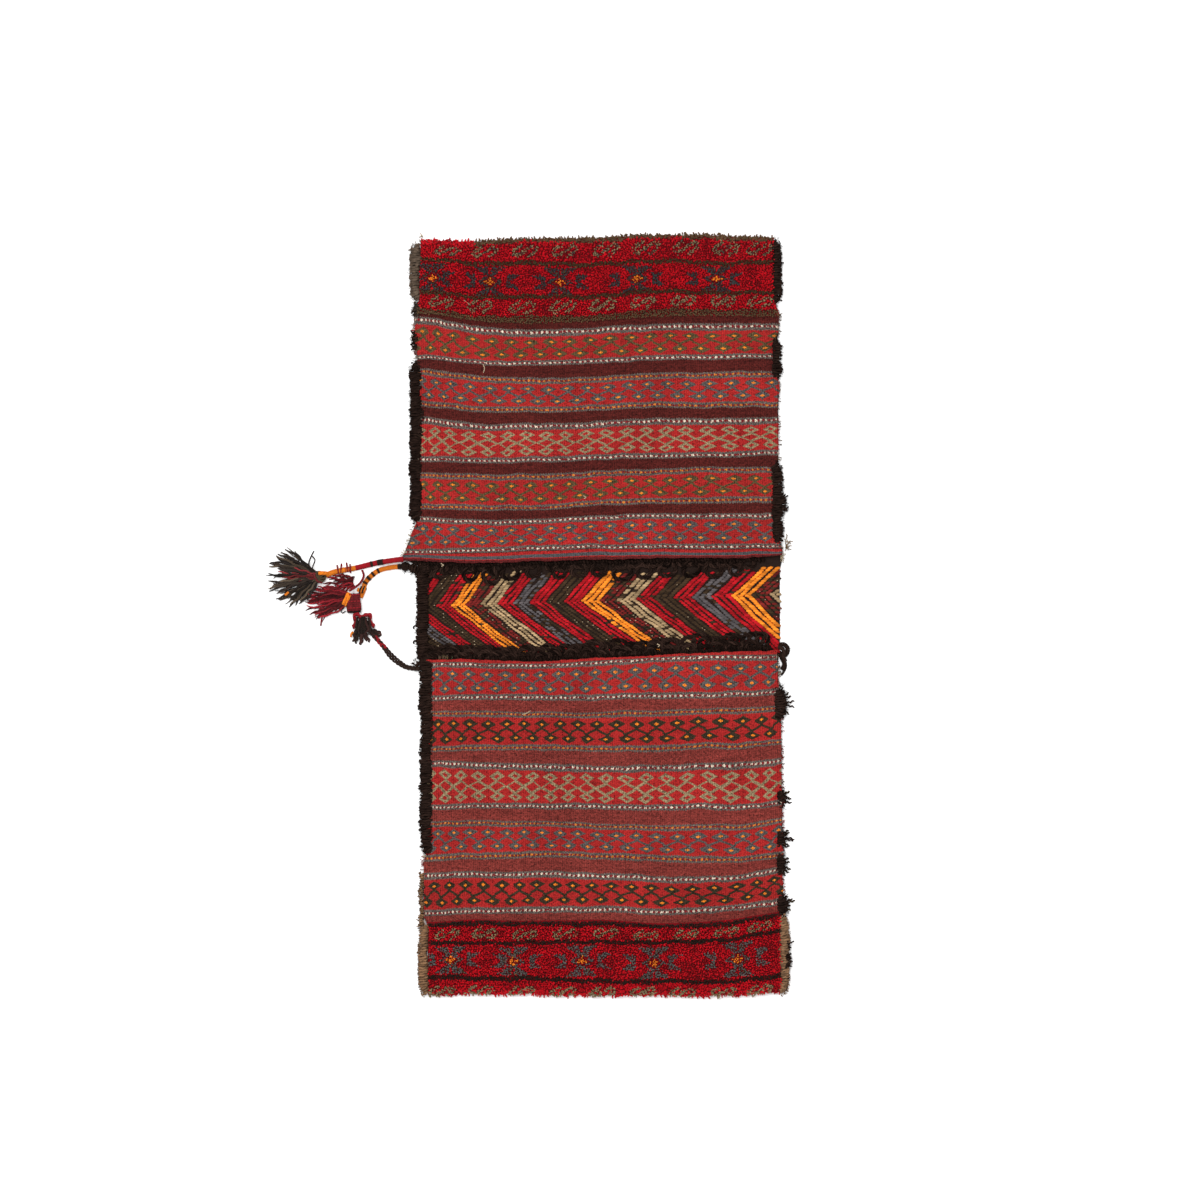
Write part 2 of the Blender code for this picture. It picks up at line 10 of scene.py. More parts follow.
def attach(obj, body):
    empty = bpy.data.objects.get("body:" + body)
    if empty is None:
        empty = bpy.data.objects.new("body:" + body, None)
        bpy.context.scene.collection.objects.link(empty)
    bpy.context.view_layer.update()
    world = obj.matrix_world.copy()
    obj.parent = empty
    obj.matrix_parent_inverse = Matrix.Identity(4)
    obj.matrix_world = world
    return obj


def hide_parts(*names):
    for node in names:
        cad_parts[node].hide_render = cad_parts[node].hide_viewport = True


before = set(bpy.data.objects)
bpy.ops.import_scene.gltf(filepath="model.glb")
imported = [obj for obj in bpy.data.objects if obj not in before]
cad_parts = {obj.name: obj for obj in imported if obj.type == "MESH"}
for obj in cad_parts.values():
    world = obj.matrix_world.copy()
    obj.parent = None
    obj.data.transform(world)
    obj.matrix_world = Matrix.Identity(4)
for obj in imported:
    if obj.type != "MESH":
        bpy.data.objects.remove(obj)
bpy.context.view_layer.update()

# The bag lies on its back and is looked at from straight above, square on, from far enough that the
# sides don't show. Plan steps count right and down across that view, 1200 of them each way.
STEP = 0.001425
MIDDLE_STEP = (600.0, 617.5)


def plan(right, down, height=0.0):
    """A point of the plan view, in the bag's own metres."""
    return Vector(((right - MIDDLE_STEP[0]) * STEP, (MIDDLE_STEP[1] - down) * STEP, height))


LENS = 300.0
camera = bpy.data.objects.new("camera", bpy.data.cameras.new("camera"))
camera.data.lens = LENS
camera.data.clip_end = 40.0
camera.location = plan(600, 600, 0.012 + 1200 * STEP * LENS / 36.0)
bpy.context.scene.collection.objects.link(camera)
bpy.context.scene.camera = camera

# A white table top under one broad soft lamp and an even white surround, so that the cloth's ridges
# keep a little shade on their lower sides and nothing shines.
world = bpy.data.worlds.new("studio")
bpy.context.scene.world = world
world.use_nodes = True
world.node_tree.nodes["Background"].inputs["Color"].default_value = (1.0, 1.0, 1.0, 1.0)
world.node_tree.nodes["Background"].inputs["Strength"].default_value = 1.0
softbox = bpy.data.objects.new("softbox", bpy.data.lights.new("softbox", "AREA"))
softbox.data.shape = "DISK"
softbox.data.size = 3.0
softbox.data.energy = 340.0
softbox.location = (-0.9, 1.3, 6.6)
softbox.rotation_euler = (Vector((0, 0, 0)) - softbox.location).to_track_quat("-Z", "Y").to_euler()
bpy.context.scene.collection.objects.link(softbox)
bpy.context.scene.view_settings.view_transform = "Standard"

table = bpy.data.meshes.new("table_top")
table.from_pydata([(-6, -6, -0.0002), (6, -6, -0.0002), (6, 6, -0.0002), (-6, 6, -0.0002)], [],
                  [(0, 1, 2, 3)])
table_top = bpy.data.objects.new("table_top", table)
bpy.context.scene.collection.objects.link(table_top)
paint = bpy.data.materials.new("white_table")
paint.use_nodes = True
paint.node_tree.nodes["Principled BSDF"].inputs["Base Color"].default_value = (0.97, 0.97, 0.97, 1)
paint.node_tree.nodes["Principled BSDF"].inputs["Roughness"].default_value = 0.9
table.materials.append(paint)

# Three cords leave the left corners: one bound in red and then orange yarn and one in orange with
# black turns, both wound tightly over a core of plied wool, and a dark braid of three strands.
CRIMSON = (0.27, 0.0065, 0.012)
ORANGE = (0.60, 0.155, 0.012)
GOAT = (0.0150, 0.0080, 0.0060)


class Field:
    """Arithmetic on the sockets of a material, so that a pattern reads as a formula."""

    def __init__(self, tree, socket):
        self.tree = tree
        self.socket = socket

    def _do(self, operation, *others):
        node = self.tree.nodes.new("ShaderNodeMath")
        node.operation = operation
        for slot, other in zip(node.inputs, (self, *others)):
            if isinstance(other, Field):
                self.tree.links.new(other.socket, slot)
            else:
                slot.default_value = other
        return Field(self.tree, node.outputs[0])

    def __add__(self, other):
        return self._do("ADD", other)

    def __sub__(self, other):
        return self._do("SUBTRACT", other)

    def __mul__(self, other):
        return self._do("MULTIPLY", other)

    def __truediv__(self, other):
        return self._do("DIVIDE", other)

    def above(self, other):
        return self._do("GREATER_THAN", other)

    def below(self, other):
        return self._do("LESS_THAN", other)

    def most(self, other):
        return self._do("MAXIMUM", other)

    def least(self, other):
        return self._do("MINIMUM", other)

    def size(self):
        return self._do("ABSOLUTE")

    def floor(self):
        return self._do("FLOOR")

    def fract(self):
        return self._do("FRACT")

    def sine(self):
        return self._do("SINE")


def read_vector(tree, name):
    """The three parts of an attribute of the mesh, or of Object coordinates."""
    if name == "Object":
        vector = tree.nodes.new("ShaderNodeTexCoord").outputs["Object"]
    else:
        node = tree.nodes.new("ShaderNodeAttribute")
        node.attribute_name = name
        vector = node.outputs["Vector"]
    parts = tree.nodes.new("ShaderNodeSeparateXYZ")
    tree.links.new(vector, parts.inputs[0])
    return [Field(tree, parts.outputs[axis]) for axis in range(3)]


def speckle(tree, scale, stretch=(1.0, 1.0, 1.0), detail=2.0):
    """Noise from 0 to 1 over the piece."""
    mapping = tree.nodes.new("ShaderNodeMapping")
    mapping.inputs["Scale"].default_value = stretch
    tree.links.new(tree.nodes.new("ShaderNodeTexCoord").outputs["Object"], mapping.inputs["Vector"])
    grain = tree.nodes.new("ShaderNodeTexNoise")
    grain.inputs["Scale"].default_value = scale
    grain.inputs["Detail"].default_value = detail
    tree.links.new(mapping.outputs["Vector"], grain.inputs["Vector"])
    return Field(tree, grain.outputs["Fac"])


def colour_slot(tree, slot, colour):
    if isinstance(colour, tuple):
        slot.default_value = (*colour, 1.0)
    else:
        tree.links.new(colour, slot)


def dyed(tree, under, over, mask):
    """One colour laid over another where the mask is 1."""
    mix = tree.nodes.new("ShaderNodeMix")
    mix.data_type = "RGBA"
    tree.links.new(mask.socket, mix.inputs[0])
    colour_slot(tree, mix.inputs[6], under)
    colour_slot(tree, mix.inputs[7], over)
    return mix.outputs[2]


def shaded(tree, colour, amount):
    """A colour made lighter or darker by a factor that varies over the piece."""
    mix = tree.nodes.new("ShaderNodeMix")
    mix.data_type = "RGBA"
    mix.blend_type = "MULTIPLY"
    mix.inputs[0].default_value = 1.0
    colour_slot(tree, mix.inputs[6], colour)
    grey = tree.nodes.new("ShaderNodeCombineXYZ")
    for axis in range(3):
        tree.links.new(amount.socket, grey.inputs[axis])
    tree.links.new(grey.outputs[0], mix.inputs[7])
    return mix.outputs[2]


def wool_finish(tree, colour, height, depth):
    """Dull wool: its colour, and the relief of its threads as a bump."""
    shader = tree.nodes["Principled BSDF"]
    shader.inputs["Roughness"].default_value = 0.92
    shader.inputs["Specular IOR Level"].default_value = 0.05
    shader.inputs["Sheen Weight"].default_value = 0.02
    shader.inputs["Sheen Roughness"].default_value = 0.6
    tree.links.new(colour, shader.inputs["Base Color"])
    bump = tree.nodes.new("ShaderNodeBump")
    bump.inputs["Strength"].default_value = 0.9
    bump.inputs["Distance"].default_value = depth
    tree.links.new(height.socket, bump.inputs["Height"])
    tree.links.new(bump.outputs["Normal"], shader.inputs["Normal"])


def new_wool(name):
    made = bpy.data.materials.new(name)
    made.use_nodes = True
    return made


def yarn_material(name, plies, lay, depth=0.0005, fleck=0.35):
    """Plied yarn in the colour of the mesh's own dye, with the grooves between its plies as a bump and
    as painted shade.
    """
    made = new_wool(name)
    tree = made.node_tree
    around, along, _ = read_vector(tree, "yarn")
    ply = ((around * plies + along / lay) * (2 * math.pi)).sine()
    fibres = speckle(tree, 900.0, (1.0, 1.0, 0.5), 3.0)
    patches = speckle(tree, 70.0)
    # The ply term darkens the dye in the grooves between the plies: painted shade.
    tint = ply * 0.10 + fibres * (2 * fleck) + patches * 0.5 + (0.72 - fleck)
    dye = tree.nodes.new("ShaderNodeAttribute")
    dye.attribute_name = "dye"
    wool_finish(tree, shaded(tree, dye.outputs["Color"], tint), ply * 0.5 + fibres, depth)
    return made


def smooth_route(points, spacing):
    """Points at even steps along a smooth curve through the given ones."""
    points = [Vector(point) for point in points]
    ends = [points[0] * 2 - points[1], *points, points[-1] * 2 - points[-2]]
    route = []
    for a, b, c, d in zip(ends, ends[1:], ends[2:], ends[3:]):
        steps = max(1, round((c - b).length / spacing))
        for step in range(steps):
            t = step / steps
            route.append(0.5 * (2 * b + (c - a) * t + (2 * a - 5 * b + 4 * c - d) * t * t
                                + (3 * b - a - 3 * c + d) * t * t * t))
    return route + [points[-1]]


def spun(name, strands, material, sides=6):
    """One mesh of many yarns, none sinking into the table. A strand is its points, its radius and its
    dye, each one or a list."""
    corners, faces, dyes, yarns = [], [], [], []
    for points, radius, dye in strands:
        line = np.array([tuple(point) for point in points], dtype=float)
        count = len(line)
        radii = np.broadcast_to(np.asarray(radius, dtype=float), (count,))
        line[:, 2] = np.maximum(line[:, 2], radii + 0.0001)
        colours = np.broadcast_to(np.asarray(dye, dtype=float), (count, 3))
        ahead = np.gradient(line, axis=0)
        ahead /= np.maximum(np.linalg.norm(ahead, axis=1), 1e-9)[:, None]
        run = np.concatenate(([0.0], np.cumsum(np.linalg.norm(np.diff(line, axis=0), axis=1))))
        start = len(corners)
        side = np.cross((0.0, 0.0, 1.0), ahead[0])
        if np.linalg.norm(side) < 0.2:
            side = np.cross((1.0, 0.0, 0.0), ahead[0])
        turns = np.arange(sides) * 2 * math.pi / sides
        for number in range(count):
            side = side - ahead[number] * np.dot(side, ahead[number])
            side /= max(np.linalg.norm(side), 1e-9)
            up = np.cross(ahead[number], side)
            ring = line[number] + radii[number] * (np.outer(np.cos(turns), side)
                                                   + np.outer(np.sin(turns), up))
            corners.extend(ring.tolist())
            dyes.extend([(*colours[number], 1.0)] * sides)
            yarns.extend([(k / sides, run[number], 0.0) for k in range(sides)])
        for number in range(count - 1):
            a = start + number * sides
            for k in range(sides):
                b = (k + 1) % sides
                faces.append((a + k, a + b, a + sides + b, a + sides + k))
        faces.append(tuple(range(start + sides - 1, start - 1, -1)))
        faces.append(tuple(range(start + (count - 1) * sides, start + count * sides)))
    mesh = bpy.data.meshes.new(name)
    mesh.from_pydata(corners, [], faces)
    colour = mesh.attributes.new("dye", "FLOAT_COLOR", "POINT")
    colour.data.foreach_set("color", np.array(dyes, dtype=np.float32).ravel())
    yarn = mesh.attributes.new("yarn", "FLOAT_VECTOR", "POINT")
    yarn.data.foreach_set("vector", np.array(yarns, dtype=np.float32).ravel())
    mesh.shade_smooth()
    mesh.materials.append(material)
    piece = bpy.data.objects.new(name, mesh)
    bpy.context.scene.collection.objects.link(piece)
    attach(piece, "root")
    return piece


def route_length(route):
    return sum((b - a).length for a, b in zip(route, route[1:]))


def bound_cord(name, corner, offsets, diameter, dye_at, seed):
    """A cord with yarn wound round it; dye_at gives the colour after each share of its length."""
    route = smooth_route([(corner[0] + x, corner[1] + y, z) for x, y, z in offsets], 0.0011)
    chance = random.Random(seed)
    shares = [number / (len(route) - 1) for number in range(len(route))]
    dyes = [dye_at(share) for share in shares]
    radii = [diameter / 2 * chance.uniform(1.02, 1.12) * (1.14 if dye == GOAT else 1.0)
             for dye in dyes]
    piece = spun(name, [(route, radii, dyes)], wound_yarn, sides=14)
    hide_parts(name)
    return piece, route


wound_yarn = yarn_material("wound_wool", 1, 0.0017, 0.0009, 0.3)
UPPER_CORNER = (-0.280, 0.0777)
LOWER_CORNER = (-0.257, -0.0563)
RED_ROUTE = ((-0.0003, 0.0057, 0.0141), (-0.0150, 0.0038, 0.0110), (-0.0392, 0.0000, 0.0042),
             (-0.0690, -0.0072, 0.0038), (-0.0960, -0.0121, 0.0042), (-0.1105, -0.0172, 0.0083))
ORANGE_ROUTE = ((-0.0044, -0.0050, 0.0080), (-0.0170, -0.0062, 0.0050), (-0.0335, -0.0100, 0.0036),
                (-0.0449, -0.0171, 0.0036), (-0.0549, -0.0285, 0.0036), (-0.0570, -0.0385, 0.0045),
                (-0.0615, -0.0490, 0.0065))
DARK_ROUTE = ((-0.0004, -0.0171, 0.0080), (-0.0110, -0.0159, 0.0050), (-0.0223, -0.0128, 0.0030),
              (-0.0394, 0.0000, 0.0028), (-0.0523, 0.0157, 0.0028), (-0.0640, 0.0288, 0.0032),
              (-0.0740, 0.0416, 0.0060))


def red_then_orange(share):
    if 0.265 < share < 0.345 or 0.405 < share < 0.43:
        return GOAT
    if 0.70 < share < 0.76 and (share * 50) % 1.0 < 0.5:
        return CRIMSON
    return CRIMSON if share < 0.62 else ORANGE


def orange_and_black(share):
    if share < 0.05 or (0.36 < share < 0.90 and (share * 9.5) % 1.0 > 0.70):
        return GOAT
    return ORANGE


def dark_then_red(share, strand):
    return (0.22, 0.010, 0.014) if 0.60 < share < 0.84 and strand != 1 else (0.022, 0.012, 0.009)


red_cord, red_line = bound_cord("red_tassel_cord", UPPER_CORNER, RED_ROUTE, 0.007,
                                red_then_orange, 1)
orange_cord, orange_line = bound_cord("orange_tassel_cord", UPPER_CORNER, ORANGE_ROUTE, 0.0065,
                                      orange_and_black, 2)


def headings(route):
    """The direction of a route at each of its points."""
    return [(after - before).normalized()
            for before, after in zip([route[0], *route[:-1]], [*route[1:], route[-1]])]


def braid(name, corner, offsets, yarn, dye_at):
    """Three strands laid over one another in turn."""
    route = smooth_route([(corner[0] + x, corner[1] + y, z) for x, y, z in offsets], 0.0011)
    strands = []
    for third in range(3):
        points, dyes = [], []
        for number, (point, ahead) in enumerate(zip(route, headings(route))):
            turn = number * 0.42 + third * 2 * math.pi / 3
            lift = max(0.5 * yarn * math.sin(2 * turn), yarn + 0.0002 - point.z)
            share = number / (len(route) - 1)
            loose = 1.35 + 0.85 * math.exp(-((share - 0.42) / 0.18) ** 2)
            points.append(point + Vector((-ahead.y, ahead.x, 0.0)) * loose * yarn * math.cos(turn)
                          + Vector((0, 0, lift)))
            dyes.append(dye_at(share, third))
        strands.append((points, yarn, dyes))
    piece = spun(name, strands, braided_yarn, sides=7)
    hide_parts(name)
    return piece, route


braided_yarn = yarn_material("braided_wool", 2, 0.004, 0.0008, 0.45)
dark_cord, dark_line = braid("dark_tassel_cord", LOWER_CORNER, DARK_ROUTE, 0.00155, dark_then_red)

# One long strip of weft-faced wool makes the whole bag. Its ends are folded in over the back, so the
# fronts are double at the sides, where both edges are drawn together, and free at the mouths.
CLOTH = 0.0035
GAP = 0.0091
MID_HEIGHT = CLOTH + GAP / 2
TOP = 2 * CLOTH + GAP
UPPER_MOUTH, UPPER_FOLD = 563.0, 244.8
LOWER_MOUTH, LOWER_FOLD = 657.0, 990.6
# The cloth's two edges in plan steps: how far down, then how far right.
LEFT_EDGE = ((230, 420.5), (301, 419.5), (306, 418), (330, 414.5), (345, 415), (362, 418),
             (521, 418), (532, 412.5), (546, 407), (556, 403.5), (563.2, 402.5), (565, 424),
             (655, 424), (659, 427), (852, 427), (862, 423.5), (915, 424), (926, 428), (1002, 428))
RIGHT_EDGE = ((230, 774), (303, 774.5), (315, 779), (335, 779), (341, 776), (378, 776), (387, 780),
              (401, 778.5), (463, 778.5), (469, 776), (538, 777), (550, 782), (563.2, 782.5),
              (565, 780), (655, 780), (659, 777), (686, 778), (720, 781), (800, 782), (900, 783),
              (918, 781.5), (1002, 782.5))
# Where the weave's count stands along each front: how far down, then the count.
UPPER_BANDS = ((563.0, -0.20), (553.5, 0.0), (548.0, 0.13), (524.0, 0.66), (518.0, 0.79),
               (510.0, 1.0), (504.0, 1.13), (480.0, 1.66), (473.5, 1.79), (463.0, 2.0),
               (457.0, 2.13), (429.0, 2.66), (421.5, 2.79), (411.0, 3.0), (404.5, 3.13),
               (381.0, 3.66), (374.5, 3.79), (363.5, 4.0), (358.5, 4.13), (335.0, 4.66),
               (327.5, 4.79), (318.0, 5.0), (244.8, 7.0))
LOWER_BANDS = ((657.0, -0.10), (662.0, 0.0), (668.0, 0.13), (696.0, 0.66), (702.0, 0.79),
               (711.0, 1.0), (717.0, 1.13), (745.0, 1.66), (751.0, 1.79), (763.0, 2.0),
               (770.0, 2.13), (803.0, 2.66), (809.0, 2.79), (821.5, 3.0), (827.5, 3.13),
               (854.0, 3.66), (861.0, 3.79), (872.0, 4.0), (879.0, 4.13), (907.0, 4.66),
               (914.0, 4.79), (922.0, 5.0), (990.6, 7.0))
# The count is a whole number at the start of each group of bands, and these further on.
PILE_PLACE, FOLD_PLACE, BACK_PLACE = 5.0, 7.0, 8.0
# Parts of one group of bands: its two dotted lines and the row of motifs between them.
FIRST_LINE, SECOND_LINE, LINE_HALF = 0.065, 0.725, 0.064
MOTIF_MIDDLE, MOTIF_HALF = 0.395, 0.265
# The materials of the strip, in the order of their slots.
UPPER_FRONT, LOWER_FRONT, KNOTTED, PLAIN, UNDER_STITCHES = range(5)
STITCHED_FROM, STITCHED_TO = 556, 664
COLUMNS = 112
ROW_STEP, FOLD_ROWS, BACK_ROWS = 2.0, 9, 76


def ease(value, start, end):
    """0 before start, 1 after end and smooth between."""
    t = min(1.0, max(0.0, (value - start) / (end - start)))
    return t * t * (3 - 2 * t)


def table_value(table, value):
    keys, values = zip(*table)
    return float(np.interp(value, keys, values))


def edges(down):
    """The cloth's left and right edge at this height of the plan, a little uneven as all are."""
    wobble = 0.9 * noise.noise(Vector((down * 0.11, 3.7, 0.0)))
    other = 0.9 * noise.noise(Vector((down * 0.10, 9.1, 0.0)))
    return table_value(LEFT_EDGE, down) + wobble, table_value(RIGHT_EDGE, down) + other


# How far single wefts lie off their course, row by row down the front, at these places across.
UPPER_ACROSS = (418, 475, 530, 600, 650, 702, 754, 778)
UPPER_SAG = (
    (245, (5, 3.5, 0, 0, 0, 0, 0, 0)), (262, (3.5, 2.5, 2.5, 2.5, 3.5, 4, 2, 1)),
    (295, (5.5, 3.2, 2.5, 1.5, 1, 0.5, -0.5, -1)), (315, (7, 6, 5.5, 4, 3, 1, 0, -0.5)),
    (325, (1, 2, 2.5, 1.5, 0, 0, -2, -3)), (358, (7, 5, 3, 1.5, 1, 0, -2.5, -3.7)),
    (375, (3, 4, 4, 3.5, 2.5, 1.4, -1.5, -2.3)), (405, (4, 4.8, 3, 1.5, 2, 1.8, -0.5, -1)),
    (424, (0.5, 4.3, 1.9, 0.8, 1, 1, -1.7, -3)), (458, (4.4, 3.4, 0.5, -1, 0.4, -0.1, -3.7, -6)),
    (475, (3.4, 2.3, 0.8, -1.4, -0.4, -2.6, -4.3, -5)),
    (505, (4.8, 3.6, 1.6, -2.3, -1.2, -2.4, -5, -5)),
    (519, (3.1, 4.1, 0.9, -1.5, -0.3, -0.8, -2.9, -3)),
    (550, (3.9, 0.5, -2.9, -4.2, 2.2, -1.2, -2.4, 0.5)),
    (558, (-1.3, -0.3, -3.6, -6, 1, -2, -4.6, -1)), (563, (-1.5, 0, -2.9, -4.2, 1.8, -2.9, -4.1, -3)))
LOWER_ACROSS = (437, 480, 530, 593, 649, 699, 748, 771)
LOWER_SAG = (
    (657, (3.2, 3.2, 4.8, 2.1, 1.8, 2.1, 1.7, 1.7)),
    (665, (-0.5, 0.5, 0.2, -1.6, -2.9, -3.1, -1.1, -0.7)),
    (699, (-0.7, -2, -1.6, -1.7, -2.7, -1, -2, -1.7)),
    (714, (-0.3, 0.1, 0.8, -0.2, -1.3, -2.7, -2.7, -2.5)),
    (747.5, (2.3, -0.3, -0.5, -0.8, -1.4, -4.2, -3.7, -2.2)),
    (767, (-2.8, -0.6, -0.5, 1, -1.7, -3.3, -3.1, -0.5)),
    (806, (1.6, 0.4, -0.9, -1.3, -2.2, -3.3, -0.3, 2.7)),
    (825, (-1.1, -0.8, -2.1, -0.6, -0.9, -1.1, 0.2, 1.5)),
    (857.5, (0.1, 0.1, -4.4, -3.3, -4.1, -2.9, -0.3, 3.5)),
    (875, (-0.3, 0.4, -2.6, -1.4, -1.8, -0.7, -1.1, -0.3)),
    (910, (2, 1.6, -0.8, -3.3, -3.6, -4.8, -5.6, -3)),
    (924, (1.5, 0, 0, -2, -1, -1.8, -4.5, -4)), (942, (0.6, 1.2, 0.6, -2.1, -2.2, -4.5, -7, -8)),
    (980, (-1.6, -0.6, 0, 0.5, 2, 0.6, -0.5, -1.6)), (991, (-1, -1.5, -2, -1.5, -2.5, -1.5, -2.5, -4)))


def sag(table, across, right, down):
    """How far one weft lies below its course, read between the rows and columns of a table."""
    keys = [key for key, _ in table]
    number = min(len(keys) - 2, max(0, int(np.searchsorted(keys, down)) - 1))
    (low, first), (high, second) = table[number], table[number + 1]
    share = ease(down, low, high)
    return float(np.interp(right, across, first) * (1 - share)
                 + np.interp(right, across, second) * share)


def drift(right, down):
    """How far the wefts dip and climb on their way across, in plan steps downwards."""
    if down < 600:
        left_climb = table_value(((240, 2.0), (262, 6.0), (300, 8.0), (331, 12.0), (378, 9.0),
                                  (425, 6.0), (460, 5.0), (520, 5.0), (563, 2.0)), down)
        dip = -left_climb * math.exp(-((right - 412) / 62) ** 2) - 4.0 * ease(right, 560, 660)
        dip += 2.5 * ease(right, 690, 770) + sag(UPPER_SAG, UPPER_ACROSS, right, down)
        if down > 520:
            near = ease(down, 520, 560)
            dip += near * (1.2 - 2.6 * math.exp(-((right - 650) / 28) ** 2)
                           - 4.5 * ease(right, 735, 785))
    else:
        climb = table_value(((657, 7.0), (690, 5.0), (715, 1.0), (760, 0.0)), down)
        end_climb = table_value(((657, 1.0), (715, 3.5), (760, 6.0), (900, 8.0), (940, 4.0),
                                 (990, 1.0)), down)
        middle_dip = table_value(((657, 0.0), (715, 0.5), (760, 3.0), (900, 5.0), (930, 3.5),
                                  (990, 1.0)), down)
        dip = -climb * ease(right, 560, 740) - end_climb * ease(right, 730, 788)
        dip += middle_dip * math.exp(-((right - 680) / 75) ** 2)
        dip -= 1.5 * math.exp(-((right - 470) / 30) ** 2) - sag(LOWER_SAG, LOWER_ACROSS, right, down)
    return dip + 1.1 * noise.noise(Vector((right * 0.022, down * 0.013, 1.0)))


# Where each motif of a row begins, counted from the left.
UPPER_MOTIFS = (400, 423, 437.2, 452.4, 471.7, 491.6, 510.4, 529.7, 549.7, 568.9, 589.4, 609.4,
                630.7, 649.5, 669.1, 689.2, 710.9, 734, 754.4, 774, 792)
LOWER_MOTIFS = (408, 423, 437.8, 453, 469, 487.6, 506.4, 523.6, 541.2, 559.5, 577.3, 596, 615.8,
                636.2, 655.8, 676.6, 697.2, 719.5, 742.4, 761, 778, 795)


def motif_count(right, down):
    """Motifs counted from the left: each front has its own weaving."""
    starts = UPPER_MOTIFS if down < 600 else LOWER_MOTIFS
    return float(np.interp(right, starts, range(-2, len(starts) - 2)))


def band_rise(place):
    """The height of the weave over a plain stretch: the lines stand up and the motifs less so."""
    if place >= PILE_PLACE:
        return 0.0004
    if place < 0:
        return 0.0006
    part = place % 1.0
    line = (math.exp(-((part - FIRST_LINE) / 0.06) ** 2)
            + math.exp(-((part - SECOND_LINE) / 0.06) ** 2))
    motif = ease(part, 0.08, 0.16) * (1 - ease(part, 0.62, 0.70))
    return 0.0011 * line + 0.0007 * motif


def strip_rows():
    """Rows along the strip: the plan height, inner and outer (y, z), the panel and the weave's count."""
    rows = []

    def front(mouth, fold, bands, panel):
        made = []
        count = round(abs(mouth - fold) / ROW_STEP)
        for number in range(count + 1):
            down = mouth + (fold - mouth) * number / count
            place = table_value(sorted(bands), down)
            y = plan(0, down).y
            lip = 0.0014 * (1 - ease(abs(down - mouth), 0, 16))
            made.append((down, (y, CLOTH + GAP - lip), (y, TOP + band_rise(place) - lip),
                         panel if place < PILE_PLACE else KNOTTED, place))
        return made

    def fold(down, sign):
        made = []
        for number in range(1, FOLD_ROWS):
            turn = math.pi * number / FOLD_ROWS
            inner, outer = GAP / 2, GAP / 2 + CLOTH
            y = plan(0, down).y
            away, up = sign * math.sin(turn), math.cos(turn)
            made.append((down, (y + away * inner, MID_HEIGHT + up * inner),
                         (y + away * outer, MID_HEIGHT + up * outer), KNOTTED, FOLD_PLACE))
        return made

    rows += front(LOWER_MOUTH, LOWER_FOLD, LOWER_BANDS, LOWER_FRONT)
    rows += fold(LOWER_FOLD, -1)
    for number in range(BACK_ROWS + 1):
        down = LOWER_FOLD + (UPPER_FOLD - LOWER_FOLD) * number / BACK_ROWS
        y = plan(0, down).y
        rows.append((down, (y, CLOTH), (y, 0.0), PLAIN, BACK_PLACE))
    rows += fold(UPPER_FOLD, 1)[::-1]
    rows += front(UPPER_MOUTH, UPPER_FOLD, UPPER_BANDS, UPPER_FRONT)[::-1]
    return rows


def doubled(down):
    """1 where a pocket lies, 0 over the bridge."""
    return 1.0 - ease(down, 552, 566) * (1 - ease(down, 654, 668))


def strip_point(right, down, y, z, place):
    """A corner of the strip: its edges drawn together, its wefts dipping and its folds swelling."""
    left, far = edges(down)
    reach = min(right - left, far - right) * STEP
    pinch = (1 - ease(reach, 0.0, 0.021)) * doubled(down)
    rise = 0.0
    if z > MID_HEIGHT and doubled(down) > 0:
        swell = noise.noise(Vector((right * 0.012, down * 0.016, 5.0)))
        pucker = noise.noise(Vector((right * 0.05, down * 0.035, 8.0)))
        rise = (0.0012 * swell + 0.0007 * pucker) * min(1.0, reach / 0.03)
    height = MID_HEIGHT + (z + rise - MID_HEIGHT) * (1 - 0.60 * pinch)
    move = drift(right, down) * STEP if place < BACK_PLACE else 0.0
    lip = min(abs(down - UPPER_MOUTH), abs(down - LOWER_MOUTH))
    if place < 0 and lip < 5:
        move += 0.0016 * (1 - lip / 5) * noise.noise(Vector((right * 0.22, 6.0, down * 0.01)))
    if place >= FOLD_PLACE:
        move += 0.0012 * noise.noise(Vector((right * 0.06, down, 2.0)))
    return (plan(right, 0).x, y - move, height)


strip = strip_rows()
corners, weave, panels, faces = [], [], [], []
for layer in (2, 1):
    for down, inner, outer, panel, place in strip:
        left, far = edges(down)
        y, z = outer if layer == 2 else inner
        for column in range(COLUMNS + 1):
            right = left + (far - left) * column / COLUMNS
            corners.append(strip_point(right, down, y, z, place))
            weave.append((motif_count(right, down), place, 0.0))
span = COLUMNS + 1
layer_size = len(strip) * span
for number in range(len(strip) - 1):
    outside = max(strip[number][3], strip[number + 1][3])
    for column in range(COLUMNS):
        a = number * span + column
        faces.append((a, a + 1, a + 1 + span, a + span))
        panels.append(outside)
        b = a + layer_size
        faces.append((b, b + span, b + 1 + span, b + 1))
        stitched = STITCHED_FROM < strip[number][0] < STITCHED_TO and outside == PLAIN
        panels.append(UNDER_STITCHES if stitched else PLAIN)
    for a in (number * span, number * span + COLUMNS):
        faces.append((a, a + span, a + span + layer_size, a + layer_size))
        panels.append(PLAIN)
for a in (0, (len(strip) - 1) * span):
    for column in range(COLUMNS):
        c = a + column
        faces.append((c, c + 1, c + 1 + layer_size, c + layer_size))
        panels.append(LOWER_FRONT if a == 0 else UPPER_FRONT)
cloth_mesh = bpy.data.meshes.new("woven_strip")
cloth_mesh.from_pydata(corners, [], faces)
weave_count = cloth_mesh.attributes.new("weave", "FLOAT_VECTOR", "POINT")
weave_count.data.foreach_set("vector", np.array(weave, dtype=np.float32).ravel())
cloth_mesh.polygons.foreach_set("material_index", panels)
turned = bmesh.new()
turned.from_mesh(cloth_mesh)
turned.normal_update()
